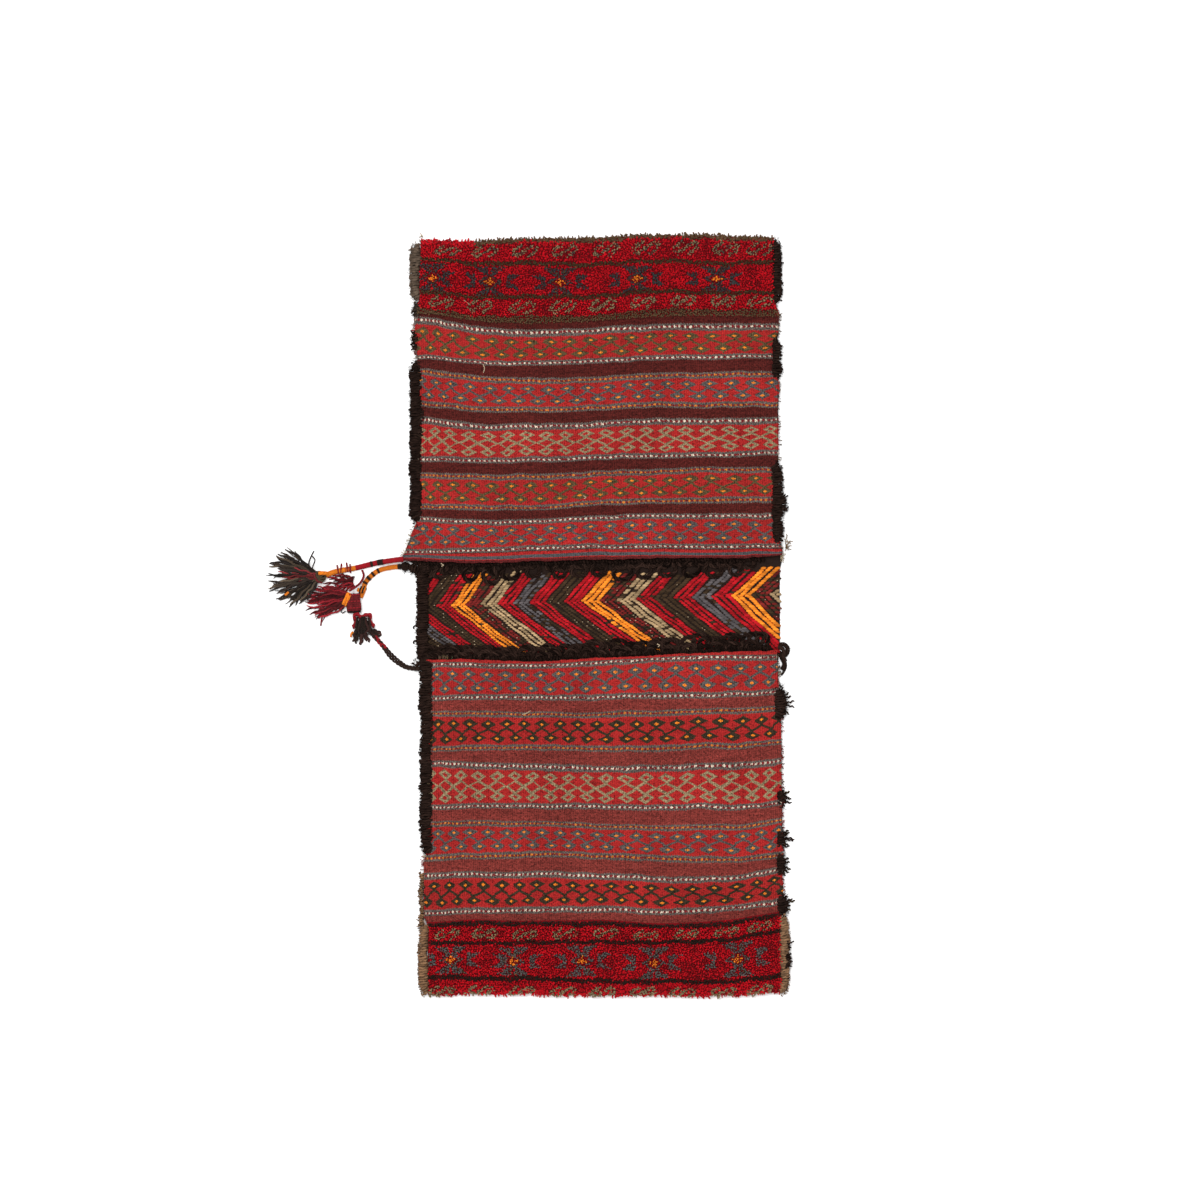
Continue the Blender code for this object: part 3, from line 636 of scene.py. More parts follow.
bmesh.ops.recalc_face_normals(turned, faces=turned.faces)
turned.to_mesh(cloth_mesh)
turned.free()
cloth_mesh.shade_smooth()
cloth = bpy.data.objects.new("woven_strip", cloth_mesh)
bpy.context.scene.collection.objects.link(cloth)

# The fronts are patterned in the weaving with wefts of many dyes: lozenges, a lattice and rows of
# dots on red, between plain bands. The back is striped, and the bridge dark under its stitching.
RED_WEFT = (0.27, 0.0135, 0.0125)
GREY_WEFT = (0.078, 0.064, 0.056)
WHITE_WEFT = (0.56, 0.45, 0.35)
DARK_RED_WEFT = (0.14, 0.010, 0.012)
ORANGE_WEFT = (0.46, 0.135, 0.020)
SLATE = (0.058, 0.056, 0.060)
HEM = (0.085, 0.010, 0.010)
# Sizes of the pattern's steps, in warps for each motif and wefts for each group of bands, and of the
# ribs and beats of the cloth in metres.
WARPS, WEFTS = 15.0, 40.0
RIB, BEAT = 0.0031, 0.0022


def constant_ramp(tree, place, colours):
    """Steps through colours as place goes from 0 to 5, one for each group of bands."""
    ramp = tree.nodes.new("ShaderNodeValToRGB")
    ramp.color_ramp.interpolation = "CONSTANT"
    elements = ramp.color_ramp.elements
    while len(elements) < len(colours):
        elements.new(0.5)
    for number, (element, colour) in enumerate(zip(elements, colours)):
        element.position = number / 5
        element.color = (*colour, 1.0)
    tree.links.new((place / 5.0 + 0.0001).socket, ramp.inputs[0])
    return ramp.outputs["Color"]


def front_weave(name, motif_dyes, plain_dye, hem_line, phases):
    """The banded front: lines with dots, motif bands, plain bands, and the hem at the mouth."""
    made = new_wool(name)
    tree = made.node_tree
    count, place, _ = read_vector(tree, "weave")
    x_object, y_object, _ = read_vector(tree, "Object")
    sway = (speckle(tree, 60.0, detail=1.0) - 0.5) * 0.16
    waver = (speckle(tree, 42.0, (1.0, 1.0, 3.0), 1.0) - 0.5) * 0.07
    group = place.floor()
    placed = count + sway
    for number, phase in enumerate(phases):
        placed = placed + (group - float(number)).size().below(0.5) * phase
    warp = (placed * WARPS).floor()
    across = warp / WARPS
    part = (((place + waver) * WEFTS + warp * 0.5).floor() - warp * 0.5) / WEFTS - group
    lines = (part - FIRST_LINE).size().least((part - SECOND_LINE).size())
    in_line = lines.below(LINE_HALF)
    dot_row = lines.below(0.022)
    slant = part * 0.6
    along_row = (count + sway * 0.5 + slant) * 3.9 + group * 0.41
    chance_of_dot = (along_row.floor() * 0.618 + group * 0.37).fract()
    dot = (along_row.fract()).below(chance_of_dot * 0.16 + 0.40)
    dot = dot * speckle(tree, 170.0).above(0.40)
    plain = part.above(0.786).most(part.below(0.004))
    middle = (part - MOTIF_MIDDLE) / MOTIF_HALF
    aside = (across.fract() - 0.5).size()
    opposite = ((across + 0.5).fract() - 0.5).size()
    lattice = (group - 2.0).size().below(0.5)
    simple = lattice * -1.0 + 1.0
    zigzag = (aside * -4.0 + 1.0) * 0.20
    tie = (middle - zigzag).size().below(0.095)
    to_high = aside / 0.43 + (middle - 0.53).size() / 0.35
    to_low = opposite / 0.43 + (middle + 0.53).size() / 0.35
    lozenge = to_high.below(1.0).most(to_low.below(1.0))
    heart = to_high.below(0.31).most(to_low.below(0.31))
    to_ring = aside / 0.54 + middle.size() / 0.38
    to_eye = aside / 0.45 + (middle.size() - 0.62).size() / 0.29
    net = (to_ring.above(0.72) * to_ring.below(1.12)).most(to_eye.below(1.0) * to_eye.above(0.38))
    figure = (net * lattice).most(tie.most(lozenge) * simple)
    in_weave = place.above(0.0)

    grain = (speckle(tree, 420.0, (1.0, 1.5, 1.0), 2.0) - 0.5) * 2.6
    red = shaded(tree, RED_WEFT, speckle(tree, 24.0) * 0.7 + 0.65)
    figure_dye = shaded(tree, constant_ramp(tree, place, motif_dyes), grain * 0.7 + 1.0)
    colour = dyed(tree, red, figure_dye, figure)
    colour = dyed(tree, colour, ORANGE, heart * simple)
    odd = ((group * 0.5).fract()).above(0.25)
    spot = dyed(tree, WHITE_WEFT, ORANGE_WEFT, odd)
    between = dyed(tree, DARK_RED_WEFT, shaded(tree, spot, chance_of_dot * 0.45 + 0.62), dot)
    grey = shaded(tree, GREY_WEFT, grain * 0.9 + 1.0)
    colour = dyed(tree, colour, dyed(tree, grey, between, dot_row), in_line)
    streaks = speckle(tree, 26.0, (1.0, 14.0, 1.0))
    worn = speckle(tree, 260.0, (1.0, 1.3, 1.0), 3.0)
    colour = dyed(tree, colour, shaded(tree, plain_dye, streaks * 0.9 + worn * 1.8 - 0.32), plain)
    hem = dyed(tree, RED_WEFT, SLATE, (place + hem_line).size().below(0.032))
    lip = dyed(tree, hem, HEM, place.below(-0.150))
    colour = dyed(tree, lip, colour, in_weave)

    ribs = (x_object * (2 * math.pi / RIB)).sine()
    beats = (y_object * (2 * math.pi / BEAT) + (x_object / RIB).floor() * 2.2).sine()
    fibres = speckle(tree, 950.0)
    pale = speckle(tree, 480.0).above(0.68) * 0.5
    # The pits are dark specks, and the ribs and beats darken the colour in their grooves: painted shade
    # laid over the bump's relief.
    pit_shade = speckle(tree, 330.0, (1.0, 1.4, 1.0), 3.0).below(0.43) * 0.42
    tint = (ribs * 0.14 + beats * 0.10 - pit_shade + 0.16 + grain * 0.70 + (speckle(tree, 9.0) - 0.5) * 0.5
            + (fibres - 0.5) * 0.8 + 0.96 + pale).most(0.16)
    height = ribs * 0.45 + beats * 0.35 + grain * 0.5 + dot_row * dot * 0.8 + figure * 0.4
    wool_finish(tree, shaded(tree, colour, tint), height, 0.0009)
    return made


OLIVE = (0.072, 0.046, 0.020)
DARK_OLIVE = (0.026, 0.018, 0.010)
GREY_BLUE = (0.066, 0.055, 0.052)
LATTICE_DYE = (0.195, 0.140, 0.078)
# Only the upper hem has a slate line, this far before the first band. At 5 it falls outside the hem.
UPPER_HEM_LINE, NO_HEM_LINE = 0.105, 5.0
upper_weave = front_weave("upper_front_weave", (GREY_BLUE, OLIVE, LATTICE_DYE, GREY_BLUE, OLIVE),
                          (0.058, 0.0082, 0.0066), UPPER_HEM_LINE, (0.5, 0.5, 0.70, 0.62, 0.5))
lower_weave = front_weave("lower_front_weave",
                          (GREY_BLUE, DARK_OLIVE, LATTICE_DYE, GREY_BLUE, DARK_OLIVE),
                          (0.140, 0.0220, 0.0175), NO_HEM_LINE, (0.08, 0.0, 0.03, 0.0, 0.27))
knot_ground = new_wool("knotted_ground")
tree = knot_ground.node_tree
wool_finish(tree, shaded(tree, (0.15, 0.003, 0.006), speckle(tree, 500.0) * 0.9 + 0.5),
            speckle(tree, 700.0), 0.0008)
plain_weave = new_wool("plain_back_weave")
tree = plain_weave.node_tree
x_object, y_object, _ = read_vector(tree, "Object")
broad = (y_object / 0.046 + speckle(tree, 3.0) * 0.25).fract()
stripe = dyed(tree, (0.036, 0.013, 0.009), (0.11, 0.013, 0.012), broad.below(0.45))
stripe = dyed(tree, stripe, (0.030, 0.027, 0.027), (broad - 0.46).size().below(0.03))
ribs = (x_object * (2 * math.pi / 0.0021)).sine()
beats = (y_object * (2 * math.pi / 0.0014) + ribs * 1.2).sine()
fibres = speckle(tree, 900.0)
# The ribs and beats also darken the stripes in their grooves: painted shade.
wool_finish(tree, shaded(tree, stripe, fibres * 0.9 + ribs * 0.08 + beats * 0.08 + 0.5),
            ribs * 0.4 + beats * 0.4 + fibres * 0.6, 0.0007)
stitch_ground = new_wool("ground_under_the_stitching")
tree = stitch_ground.node_tree
wool_finish(tree, shaded(tree, (0.016, 0.009, 0.007), speckle(tree, 500.0) + 0.5),
            speckle(tree, 700.0), 0.0008)
for finish in (upper_weave, lower_weave, knot_ground, plain_weave, stitch_ground):
    cloth_mesh.materials.append(finish)
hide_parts("woven_cloth")
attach(cloth, "root")

# The ends of both fronts are knotted pile: rows of cut woollen ends with hooked figures and a row of
# stars between dark lines. They go round the fold, the upper one with a last line of olive wool.
PILE_RED = (0.395, 0.0026, 0.0080)
PILE_DEEP = (0.190, 0.0014, 0.0042)
PILE_OLIVE = (0.082, 0.046, 0.022)
PILE_TAUPE = (0.185, 0.135, 0.072)
PILE_SLATE = (0.034, 0.035, 0.036)
PILE_BROWN = (0.048, 0.030, 0.013)
PILE_BLACK = (0.015, 0.009, 0.006)
GREY = (0.060, 0.052, 0.040)
TAN = (0.17, 0.108, 0.060)
HOOK = ((-3.5, -4.8), (-10.5, -0.8), (-12, 2.2), (-8, 4.3), (8, -4.3), (12, -2.2), (10.5, 0.8),
        (3.5, 4.8))
HOOK_STROKES = list(zip(HOOK, HOOK[1:]))
CROSS_STROKES = (((-3.4, 0), (3.4, 0)), ((0, -2.6), (0, 2.6)))
CROSS_HALF = 1.4


def lit(dye, light):
    """A dye made lighter or darker."""
    return tuple(min(1.0, part * light) for part in dye)


def stroke_distance(x, y, a, b):
    along = ((x - a[0]) * (b[0] - a[0]) + (y - a[1]) * (b[1] - a[1]))
    along /= (b[0] - a[0]) ** 2 + (b[1] - a[1]) ** 2
    along = min(1.0, max(0.0, along))
    return math.hypot(x - a[0] - along * (b[0] - a[0]), y - a[1] - along * (b[1] - a[1]))


def on_strokes(x, y, strokes, half):
    return any(stroke_distance(x, y, a, b) < half for a, b in strokes)


def in_star(x, y):
    """A lozenge with two filled horns above it and two below, parted by a thin line of ground."""
    x, y = abs(x), abs(y)
    return 1.2 < x < y * 1.5 - 4.5 and y < 14.4 or x / 12.8 + y / 7.8 < 1


def in_claw(x, y):
    """A block with a notch in the side that is turned away from its star."""
    return -2.6 < x < abs(y) * 1.5 + 0.6 and abs(y) < 7.0


def pile_dye(right, down, lines, hook_rows, star_row, chance):
    """The colour of one knot: that of a line, a hook, a star or a claw, or else the ground's red."""
    wavy = down + 0.9 * math.sin(right * 0.05) + 0.7 * math.sin(right * 0.17)
    for start, end, first, dye in lines:
        if right > first and start <= wavy <= end:
            return dye
    for row, hooks, dyes in hook_rows:
        if abs(down - row) < 8 and chance.random() > 0.05:
            for centre in hooks:
                half = 1.35 + chance.uniform(0.0, 0.4)
                if on_strokes(right - centre, down - row, HOOK_STROKES, half):
                    return dyes[0] if chance.random() < 0.8 else dyes[1]
    row, stars, claws, slate = star_row
    for star in stars:
        x, y = right - star, down - row
        if on_strokes(x, y, CROSS_STROKES, CROSS_HALF):
            return ORANGE
        if abs(x) / 8.0 + abs(y) / 5.4 < 1:
            return PILE_DEEP
        if in_star(x, y):
            return slate if chance.random() < 0.9 else PILE_OLIVE
    for claw, facing in claws:
        if in_claw((right - claw) * facing, down - row):
            return slate
    deep = noise.noise(Vector((right * 0.05, down * 0.10, 4.0))) > 0.10
    return PILE_DEEP if deep and chance.random() < 0.45 else PILE_RED


def planted(name, spots, shape, sizes, sway_by, seed, material):
    """Sets one small shape on each spot. A spot is its place, its turn, its size and its dye."""
    places, turns, scales, dyes = zip(*spots)
    bed = bpy.data.meshes.new(name)
    bed.from_pydata([tuple(place) for place in places], [], [])
    for label, kind, key, values in (("turn", "FLOAT_VECTOR", "vector", turns),
                                     ("scale", "FLOAT", "value", scales),
                                     ("dye", "FLOAT_COLOR", "color", [(*d, 1.0) for d in dyes])):
        layer = bed.attributes.new(label, kind, "POINT")
        layer.data.foreach_set(key, np.array(values, dtype=np.float32).ravel())
    holder = bpy.data.objects.new(name, bed)
    bpy.context.scene.collection.objects.link(holder)

    tree = bpy.data.node_groups.new(name, "GeometryNodeTree")
    tree.is_modifier = True
    tree.interface.new_socket("Spots", in_out="INPUT", socket_type="NodeSocketGeometry")
    for label in ("Length", "Width", "Height", "Sway"):
        tree.interface.new_socket(label, in_out="INPUT", socket_type="NodeSocketFloat")
    tree.interface.new_socket("Seed", in_out="INPUT", socket_type="NodeSocketInt")
    tree.interface.new_socket("Planted", in_out="OUTPUT", socket_type="NodeSocketGeometry")
    nodes, link = tree.nodes, tree.links.new
    entry, leave = nodes.new("NodeGroupInput"), nodes.new("NodeGroupOutput")
    if shape == "tuft":
        stitch = nodes.new("GeometryNodeMeshCone")
        stitch.inputs["Vertices"].default_value = 4
        stitch.inputs["Radius Top"].default_value = 0.28
        stitch.inputs["Radius Bottom"].default_value = 0.5
        stitch.inputs["Depth"].default_value = 1.0
        stitch.fill_type = "NGON"
    else:
        stitch = nodes.new("GeometryNodeMeshIcoSphere")
        stitch.inputs["Radius"].default_value = 0.5
        stitch.inputs["Subdivisions"].default_value = 1
    smooth = nodes.new("GeometryNodeSetShadeSmooth")
    link(stitch.outputs["Mesh"], smooth.inputs["Geometry"])
    size = nodes.new("ShaderNodeCombineXYZ")
    for axis, label in enumerate(("Length", "Width", "Height")):
        link(entry.outputs[label], size.inputs[axis])
    formed = nodes.new("GeometryNodeTransform")
    link(smooth.outputs["Geometry"], formed.inputs["Geometry"])
    link(size.outputs[0], formed.inputs["Scale"])
    own_turn = nodes.new("GeometryNodeInputNamedAttribute")
    own_turn.data_type = "FLOAT_VECTOR"
    own_turn.inputs["Name"].default_value = "turn"
    sway = nodes.new("FunctionNodeRandomValue")
    sway.data_type = "FLOAT_VECTOR"
    low = nodes.new("ShaderNodeMath")
    low.operation = "MULTIPLY"
    low.inputs[1].default_value = -1.0
    link(entry.outputs["Sway"], low.inputs[0])
    link(low.outputs[0], sway.inputs[0])
    link(entry.outputs["Sway"], sway.inputs[1])
    link(entry.outputs["Seed"], sway.inputs["Seed"])
    turned_to = nodes.new("ShaderNodeVectorMath")
    link(own_turn.outputs["Attribute"], turned_to.inputs[0])
    link(sway.outputs[0], turned_to.inputs[1])
    euler = nodes.new("FunctionNodeEulerToRotation")
    link(turned_to.outputs[0], euler.inputs[0])
    own_size = nodes.new("GeometryNodeInputNamedAttribute")
    own_size.data_type = "FLOAT"
    own_size.inputs["Name"].default_value = "scale"
    put = nodes.new("GeometryNodeInstanceOnPoints")
    link(entry.outputs["Spots"], put.inputs["Points"])
    link(formed.outputs["Geometry"], put.inputs["Instance"])
    link(euler.outputs[0], put.inputs["Rotation"])
    link(own_size.outputs["Attribute"], put.inputs["Scale"])
    real = nodes.new("GeometryNodeRealizeInstances")
    link(put.outputs["Instances"], real.inputs["Geometry"])
    finish = nodes.new("GeometryNodeSetMaterial")
    finish.inputs["Material"].default_value = material
    link(real.outputs["Geometry"], finish.inputs["Geometry"])
    link(finish.outputs["Geometry"], leave.inputs["Planted"])

    grow = holder.modifiers.new("grow", "NODES")
    grow.node_group = tree
    labels = {item.name: item.identifier for item in tree.interface.items_tree
              if item.in_out == "INPUT"}
    for label, value in zip(("Length", "Width", "Height", "Sway"), (*sizes, sway_by)):
        grow[labels[label]] = float(value)
    grow[labels["Seed"]] = seed
    bpy.context.view_layer.update()
    evaluated = holder.evaluated_get(bpy.context.evaluated_depsgraph_get())
    plain = bpy.data.meshes.new_from_object(evaluated)
    holder.modifiers.remove(grow)
    holder.data = plain
    if not plain.materials:
        plain.materials.append(material)
    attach(holder, "root")
    return holder


def planted_wool(name, fleck):
    """Wool in the colour of each planted stitch or tuft."""
    made = new_wool(name)
    tree = made.node_tree
    dye = tree.nodes.new("ShaderNodeAttribute")
    dye.attribute_name = "dye"
    fibres = speckle(tree, 800.0, detail=3.0)
    tint = fibres * fleck + speckle(tree, 55.0) * 0.8 + (0.66 - fleck / 2)
    wool_finish(tree, shaded(tree, dye.outputs["Color"], tint), fibres, 0.0006)
    return made


pile_wool = planted_wool("pile_wool", 0.6)
KNOT_STEP = 1.58
WRAP_ROWS, WRAP_TURN = 5, 0.30
TUFT_LIFT = 0.0013


def pile(name, start, end, lines, hook_rows, star_row, outward, seed):
    """Tufts over the knotted end of a front and round its fold, leaning a little to the fold."""
    chance = random.Random(seed)
    spots = []
    rows = round(abs(end - start) / KNOT_STEP)
    radius = TOP - MID_HEIGHT
    for row in range(rows + WRAP_ROWS + 1):
        down = start + (end - start) * min(row, rows) / rows
        turn = max(0, row - rows) * WRAP_TURN
        left, far = edges(down)
        count = round((far - left) / KNOT_STEP)
        for column in range(count):
            right = left + 0.8 + (far - left - 1.6) * (column + 0.5) / count
            right += chance.uniform(-0.6, 0.6)
            here = down + chance.uniform(-0.6, 0.6)
            seen = here - outward * radius * math.sin(turn) / STEP
            dye = lit(pile_dye(right, seen, lines, hook_rows, star_row, chance),
                      chance.uniform(0.86, 1.22))
            y = plan(0, here).y + outward * radius * math.sin(turn)
            z = MID_HEIGHT + radius * math.cos(turn) + TUFT_LIFT * math.cos(turn)
            spot = Vector(strip_point(right, here, y, z, FOLD_PLACE if turn else PILE_PLACE))
            lean = -outward * (0.25 + 0.9 * turn)
            spots.append((spot, (lean + chance.uniform(-0.25, 0.25), chance.uniform(-0.3, 0.3),
                                 chance.uniform(0, 6.28)), chance.uniform(0.75, 1.15), dye))
    piece = planted(name, spots, "tuft", (0.0027, 0.0027, 0.0046), 0.12, seed, pile_wool)


# A line is its first and last row, where it begins across and its dye. A row of hooks is its middle,
# its hooks and their two dyes. The row of stars is its middle, its stars, its claws and their dye.
UPPER_HOOKS = (447, 485, 525, 565, 606, 646, 686, 726, 760)
LOWER_HOOKS = (442, 480, 522, 563, 603, 643, 683, 723, 760)
pile(
    "upper_pile", 318.0, UPPER_FOLD,
    ((311.5, 323, 0, PILE_OLIVE), (293.2, 297.2, 0, PILE_BROWN), (260.2, 264.2, 0, PILE_BROWN),
     (230, 242.8, 474, PILE_OLIVE)),
    ((250.5, UPPER_HOOKS, (PILE_TAUPE, GREY)), (304, LOWER_HOOKS, (PILE_TAUPE, TAN))),
    (280.5, (432, 490, 560, 637, 716),
     ((445, 1), (473, -1), (509, 1), (543, -1), (579, 1), (617, -1), (655, 1), (695, -1), (732, 1)),
     PILE_SLATE), 1, 11)
pile(
    "lower_pile", 922.5, LOWER_FOLD,
    ((921, 926, 0, PILE_BLACK), (940.5, 944.3, 0, PILE_BLACK), (977.0, 981.5, 0, PILE_BLACK)),
    ((934.0, UPPER_HOOKS, (PILE_TAUPE, PILE_OLIVE)), (993.0, LOWER_HOOKS, (PILE_TAUPE, TAN))),
    (961, (451, 513, 582, 654, 738),
     ((433, -1), (469, 1), (503, -1), (532, 1), (564, -1), (600, 1), (633, -1), (671, 1), (713, -1),
      (759, 1)), (0.080, 0.074, 0.070)), -1, 12)

# The bridge is covered with rows of slanted wrapping stitches in thick yarn, three rows of a colour,
# which meet in a line of points that look to the left.
STITCH_RED = (0.36, 0.0070, 0.0120)
STITCH_ORANGE = (0.74, 0.215, 0.018)
STITCH_TAUPE = (0.36, 0.245, 0.130)
STITCH_SLATE = (0.092, 0.080, 0.082)
STITCH_MAROON = (0.150, 0.0140, 0.0120)
STITCH_DARK = (0.042, 0.024, 0.012)
CREAM = (0.42, 0.33, 0.22)
# The points of the chevrons from left to right, each with the dye of the rows up to the next one.
APEXES = (
    (376, STITCH_DARK), (391, STITCH_SLATE), (406, STITCH_RED), (421, STITCH_DARK),
    (436, STITCH_RED), (450.5, STITCH_ORANGE), (465.5, STITCH_MAROON), (481, STITCH_TAUPE),
    (497.5, STITCH_RED), (513, STITCH_SLATE), (529, STITCH_RED), (546.5, STITCH_DARK),
    (563.5, STITCH_RED), (581, STITCH_ORANGE), (600, STITCH_MAROON), (616.5, STITCH_TAUPE),
    (636, STITCH_RED), (653.5, STITCH_DARK), (673, STITCH_RED), (691.5, STITCH_SLATE),
    (711.5, STITCH_RED), (731, STITCH_ORANGE), (751, STITCH_MAROON), (769.5, STITCH_TAUPE),
    (788, STITCH_MAROON))
UPPER_SLOPES = ((450, 1.34), (582, 1.16), (692, 0.99), (735, 0.92))
LOWER_SLOPES = ((376, 0.76), (450, 0.86), (582, 0.78), (692, 0.84), (735, 1.02))
BRIDGE_TOP = CLOTH + 0.0004
ROW_STITCH, ROWS_OF_A_DYE = 3.1, 3
STITCHES_FROM, STITCHES_TO = 573.0, 653.5
BRIDGE_LEFT, BRIDGE_RIGHT = 426, 779.5
STITCH_WIDTH = 0.0061
# The share of stitches that are worn down to the dark ground, by their dye.
WORN = {STITCH_MAROON: 0.34, STITCH_SLATE: 0.22, STITCH_DARK: 0.10, STITCH_TAUPE: 0.07}


def stitch_rows():
    """A spot for each wrapping stitch."""
    chance = random.Random(5)
    spots = []
    for (apex, dye), (following, _) in zip(APEXES, APEXES[1:]):
        width = following - apex
        for row in range(ROWS_OF_A_DYE):
            x = apex + width * (row + 0.5) / ROWS_OF_A_DYE
            y = 605.5 - (x - 430) * 0.032
            for side, slopes, bend in ((-1, UPPER_SLOPES, 0.0), (1, LOWER_SLOPES, -0.0006)):
                slope = table_value(slopes, x)
                length = math.hypot(1, slope)
                reach = 0.0
                while True:
                    sway = 1.3 * noise.noise(Vector((apex * 0.3 + row, reach * 0.055, side * 4.0)))
                    right = x + reach / length + sway * slope
                    down = y + side * (reach * slope / length + bend * reach * reach) - side * sway
                    first = STITCHES_FROM + 6.0 * noise.noise(Vector((right * 0.08, 9.0, 0.0)))
                    if not first - max(0.0, (right - 690) * 0.06) < down < STITCHES_TO:
                        break
                    reach += ROW_STITCH
                    if not BRIDGE_LEFT < right < BRIDGE_RIGHT:
                        continue
                    heading = math.atan2(-side * slope, 1)
                    turn = heading + side * math.radians(32 + chance.uniform(-6, 6))
                    wool = 0.5 + 0.5 * noise.noise(Vector((right * 0.08, down * 0.08, row)))
                    light = chance.uniform(0.58, 1.14) * (0.66 + 0.6 * wool)
                    worn = chance.random() < WORN.get(dye, 0.03)
                    thick = width / ROWS_OF_A_DYE * slope / length * STEP
                    spots.append((plan(right, down, BRIDGE_TOP + 0.0004), (0.0, 0.12, turn),
                                  thick / STITCH_WIDTH * chance.uniform(0.86, 1.08),
                                  lit(STITCH_DARK if worn else dye, light)))
                    if dye in (STITCH_MAROON, STITCH_DARK) and chance.random() < 0.09:
                        spots.append((plan(right + 0.8, down, BRIDGE_TOP + 0.0018), (0.0, 0.0, turn),
                                      0.24, CREAM))
    return spots


chevrons = planted("bridge_stitching", stitch_rows(), "stitch", (0.0096, 0.0046, 0.0042), 0.06, 21,
                   planted_wool("stitch_wool", 0.7))

# Where the two layers meet at the sides, yarn goes over and over both edges: black goat hair for the
# most part and tan wool at some ends. It is worn through in places, and loose hairs stand out of it.
hair_yarn = yarn_material("goat_hair_yarn", 2, 0.007, 0.0009, 0.6)
hair_shader = hair_yarn.node_tree.nodes["Principled BSDF"]
hair_shader.inputs["Specular IOR Level"].default_value = 0.03
hair_shader.inputs["Sheen Weight"].default_value = 0.0
tan_yarn = yarn_material("tan_wool_yarn", 2, 0.006, 0.0008, 0.5)
TURN_STEPS = 11


def winding(axis, half_width, half_height, yarn, pitch, dye, chance, ragged=0.0):
    """Yarn wound round a flat-lying core. The half sizes are one value or one for each point."""
    axis = [Vector(point) for point in axis]
    run = np.concatenate(([0.0], np.cumsum([(b - a).length for a, b in zip(axis, axis[1:])])))
    widths = np.broadcast_to(np.asarray(half_width, dtype=float), (len(axis),))
    heights = np.broadcast_to(np.asarray(half_height, dtype=float), (len(axis),))
    places = np.array([tuple(point) for point in axis])
    turns = run[-1] / pitch
    steps = max(12, round(turns * TURN_STEPS))
    points, radii, dyes = [], [], []
    loose = 0.0

    def at(reach):
        return Vector([np.interp(reach, run, places[:, part]) for part in range(3)])

    for step in range(steps + 1):
        reach = run[-1] * step / steps
        centre = at(reach)
        ahead = (at(min(run[-1], reach + 0.002)) - at(max(0.0, reach - 0.002))).normalized()
        aside = Vector((-ahead.y, ahead.x, 0.0)).normalized()
        turn = 2 * math.pi * step / TURN_STEPS
        if step % 5 == 0:
            loose = chance.uniform(-ragged, ragged)
        wide = float(np.interp(reach, run, widths)) - yarn + loose
        high = float(np.interp(reach, run, heights)) - yarn + 0.5 * loose
        high = min(high, centre.z - yarn - 0.0001)
        points.append(centre + aside * wide * math.cos(turn) + Vector((0, 0, high * math.sin(turn)))
                      + ahead * chance.uniform(-ragged, ragged) * 0.5)
        radii.append(yarn * chance.uniform(0.85, 1.15))
        dyes.append(lit(dye, chance.uniform(0.6, 1.6)))
    return points, radii, dyes


def loose_hairs(axis, half, outward, number, length, dye, chance, thin=0.00028):
    """Fine ends that stand out of a binding or a knot, curling back towards the ground."""
    hairs = []
    for _ in range(number):
        root = Vector(chance.choice(axis)) + Vector((0, chance.uniform(-0.002, 0.002), 0))
        turn = chance.uniform(-0.5 * math.pi, 0.5 * math.pi)
        out = Vector((outward * math.cos(turn * 0.9), math.sin(turn) * 0.9,
                      chance.uniform(-0.2, 0.6))).normalized()
        reach = chance.uniform(0.4, 1.0) * length
        curl = Vector((chance.uniform(-1, 1), chance.uniform(-1, 1), -0.5)) * reach * 0.5
        points = []
        for step in range(5):
            t = step / 4
            point = root + out * (half * 0.7 + reach * t) + curl * t * t
            point.z = max(point.z, 0.0006)
            points.append(point)
        hairs.append((points, thin, lit(dye, chance.uniform(0.6, 1.6))))
    return hairs


def drawn(spacing, *points):
    """A smooth curve through points of the plan view."""
    return smooth_route([plan(*point) for point in points], spacing)


def fan(root, heading, spread, number, shortest, longest, radius, dyes, chance, neck, lift=0.010,
        uneven=0.0):
    """Cut ends that leave one neck side by side, wave a little and come down to the ground."""
    strands = []
    for order in range(number):
        share = (order + chance.uniform(0.1, 0.9)) / number * 2 - 1
        turn = math.radians(heading + spread * share)
        out = Vector((math.cos(turn), math.sin(turn), 0.0))
        aside = Vector((-out.y, out.x, 0.0))
        base = Vector(root) + aside * neck * share + Vector((0, 0, chance.uniform(-0.4, 0.4) * neck))
        reach = chance.uniform(shortest, longest) * (1 - 0.22 * share * share - uneven * share)
        wave = chance.uniform(-0.16, 0.16) * reach
        phase = chance.uniform(0, 6.28)
        layer = chance.uniform(0.0, 1.0)
        points, radii = [], []
        for step in range(13):
            t = step / 12
            point = base + out * reach * t
            point += aside * wave * math.sin(3.4 * t + phase) * t
            point += aside * 0.0009 * math.sin(17 * t + phase)
            fall = base.z * (1 - t) ** 2 + (0.0012 + lift * layer * (1 - 0.5 * t)) * (1 - (1 - t) ** 2)
            point.z = max(radius + 0.0003, fall + 0.0008 * math.sin(9 * t + phase) * t)
            points.append(point)
            radii.append(radius * (1.0 if t < 0.86 else 1.0 - 4.2 * (t - 0.86)))
        dye = chance.choice(dyes)
        light = chance.uniform(0.6, 1.5)
        shade = [tuple(min(1.0, part * light * (1.0 + 1.2 * (step / 12) ** 5)) for part in dye)
                 for step in range(13)]
        strands.append((points, radii, shade))
    return strands


DUSTY = (0.098, 0.070, 0.050)
WORN_TAN = (0.160, 0.088, 0.046)
PALE_HAIR = (0.24, 0.18, 0.13)
BINDING_HALF_HEIGHT = 0.0079
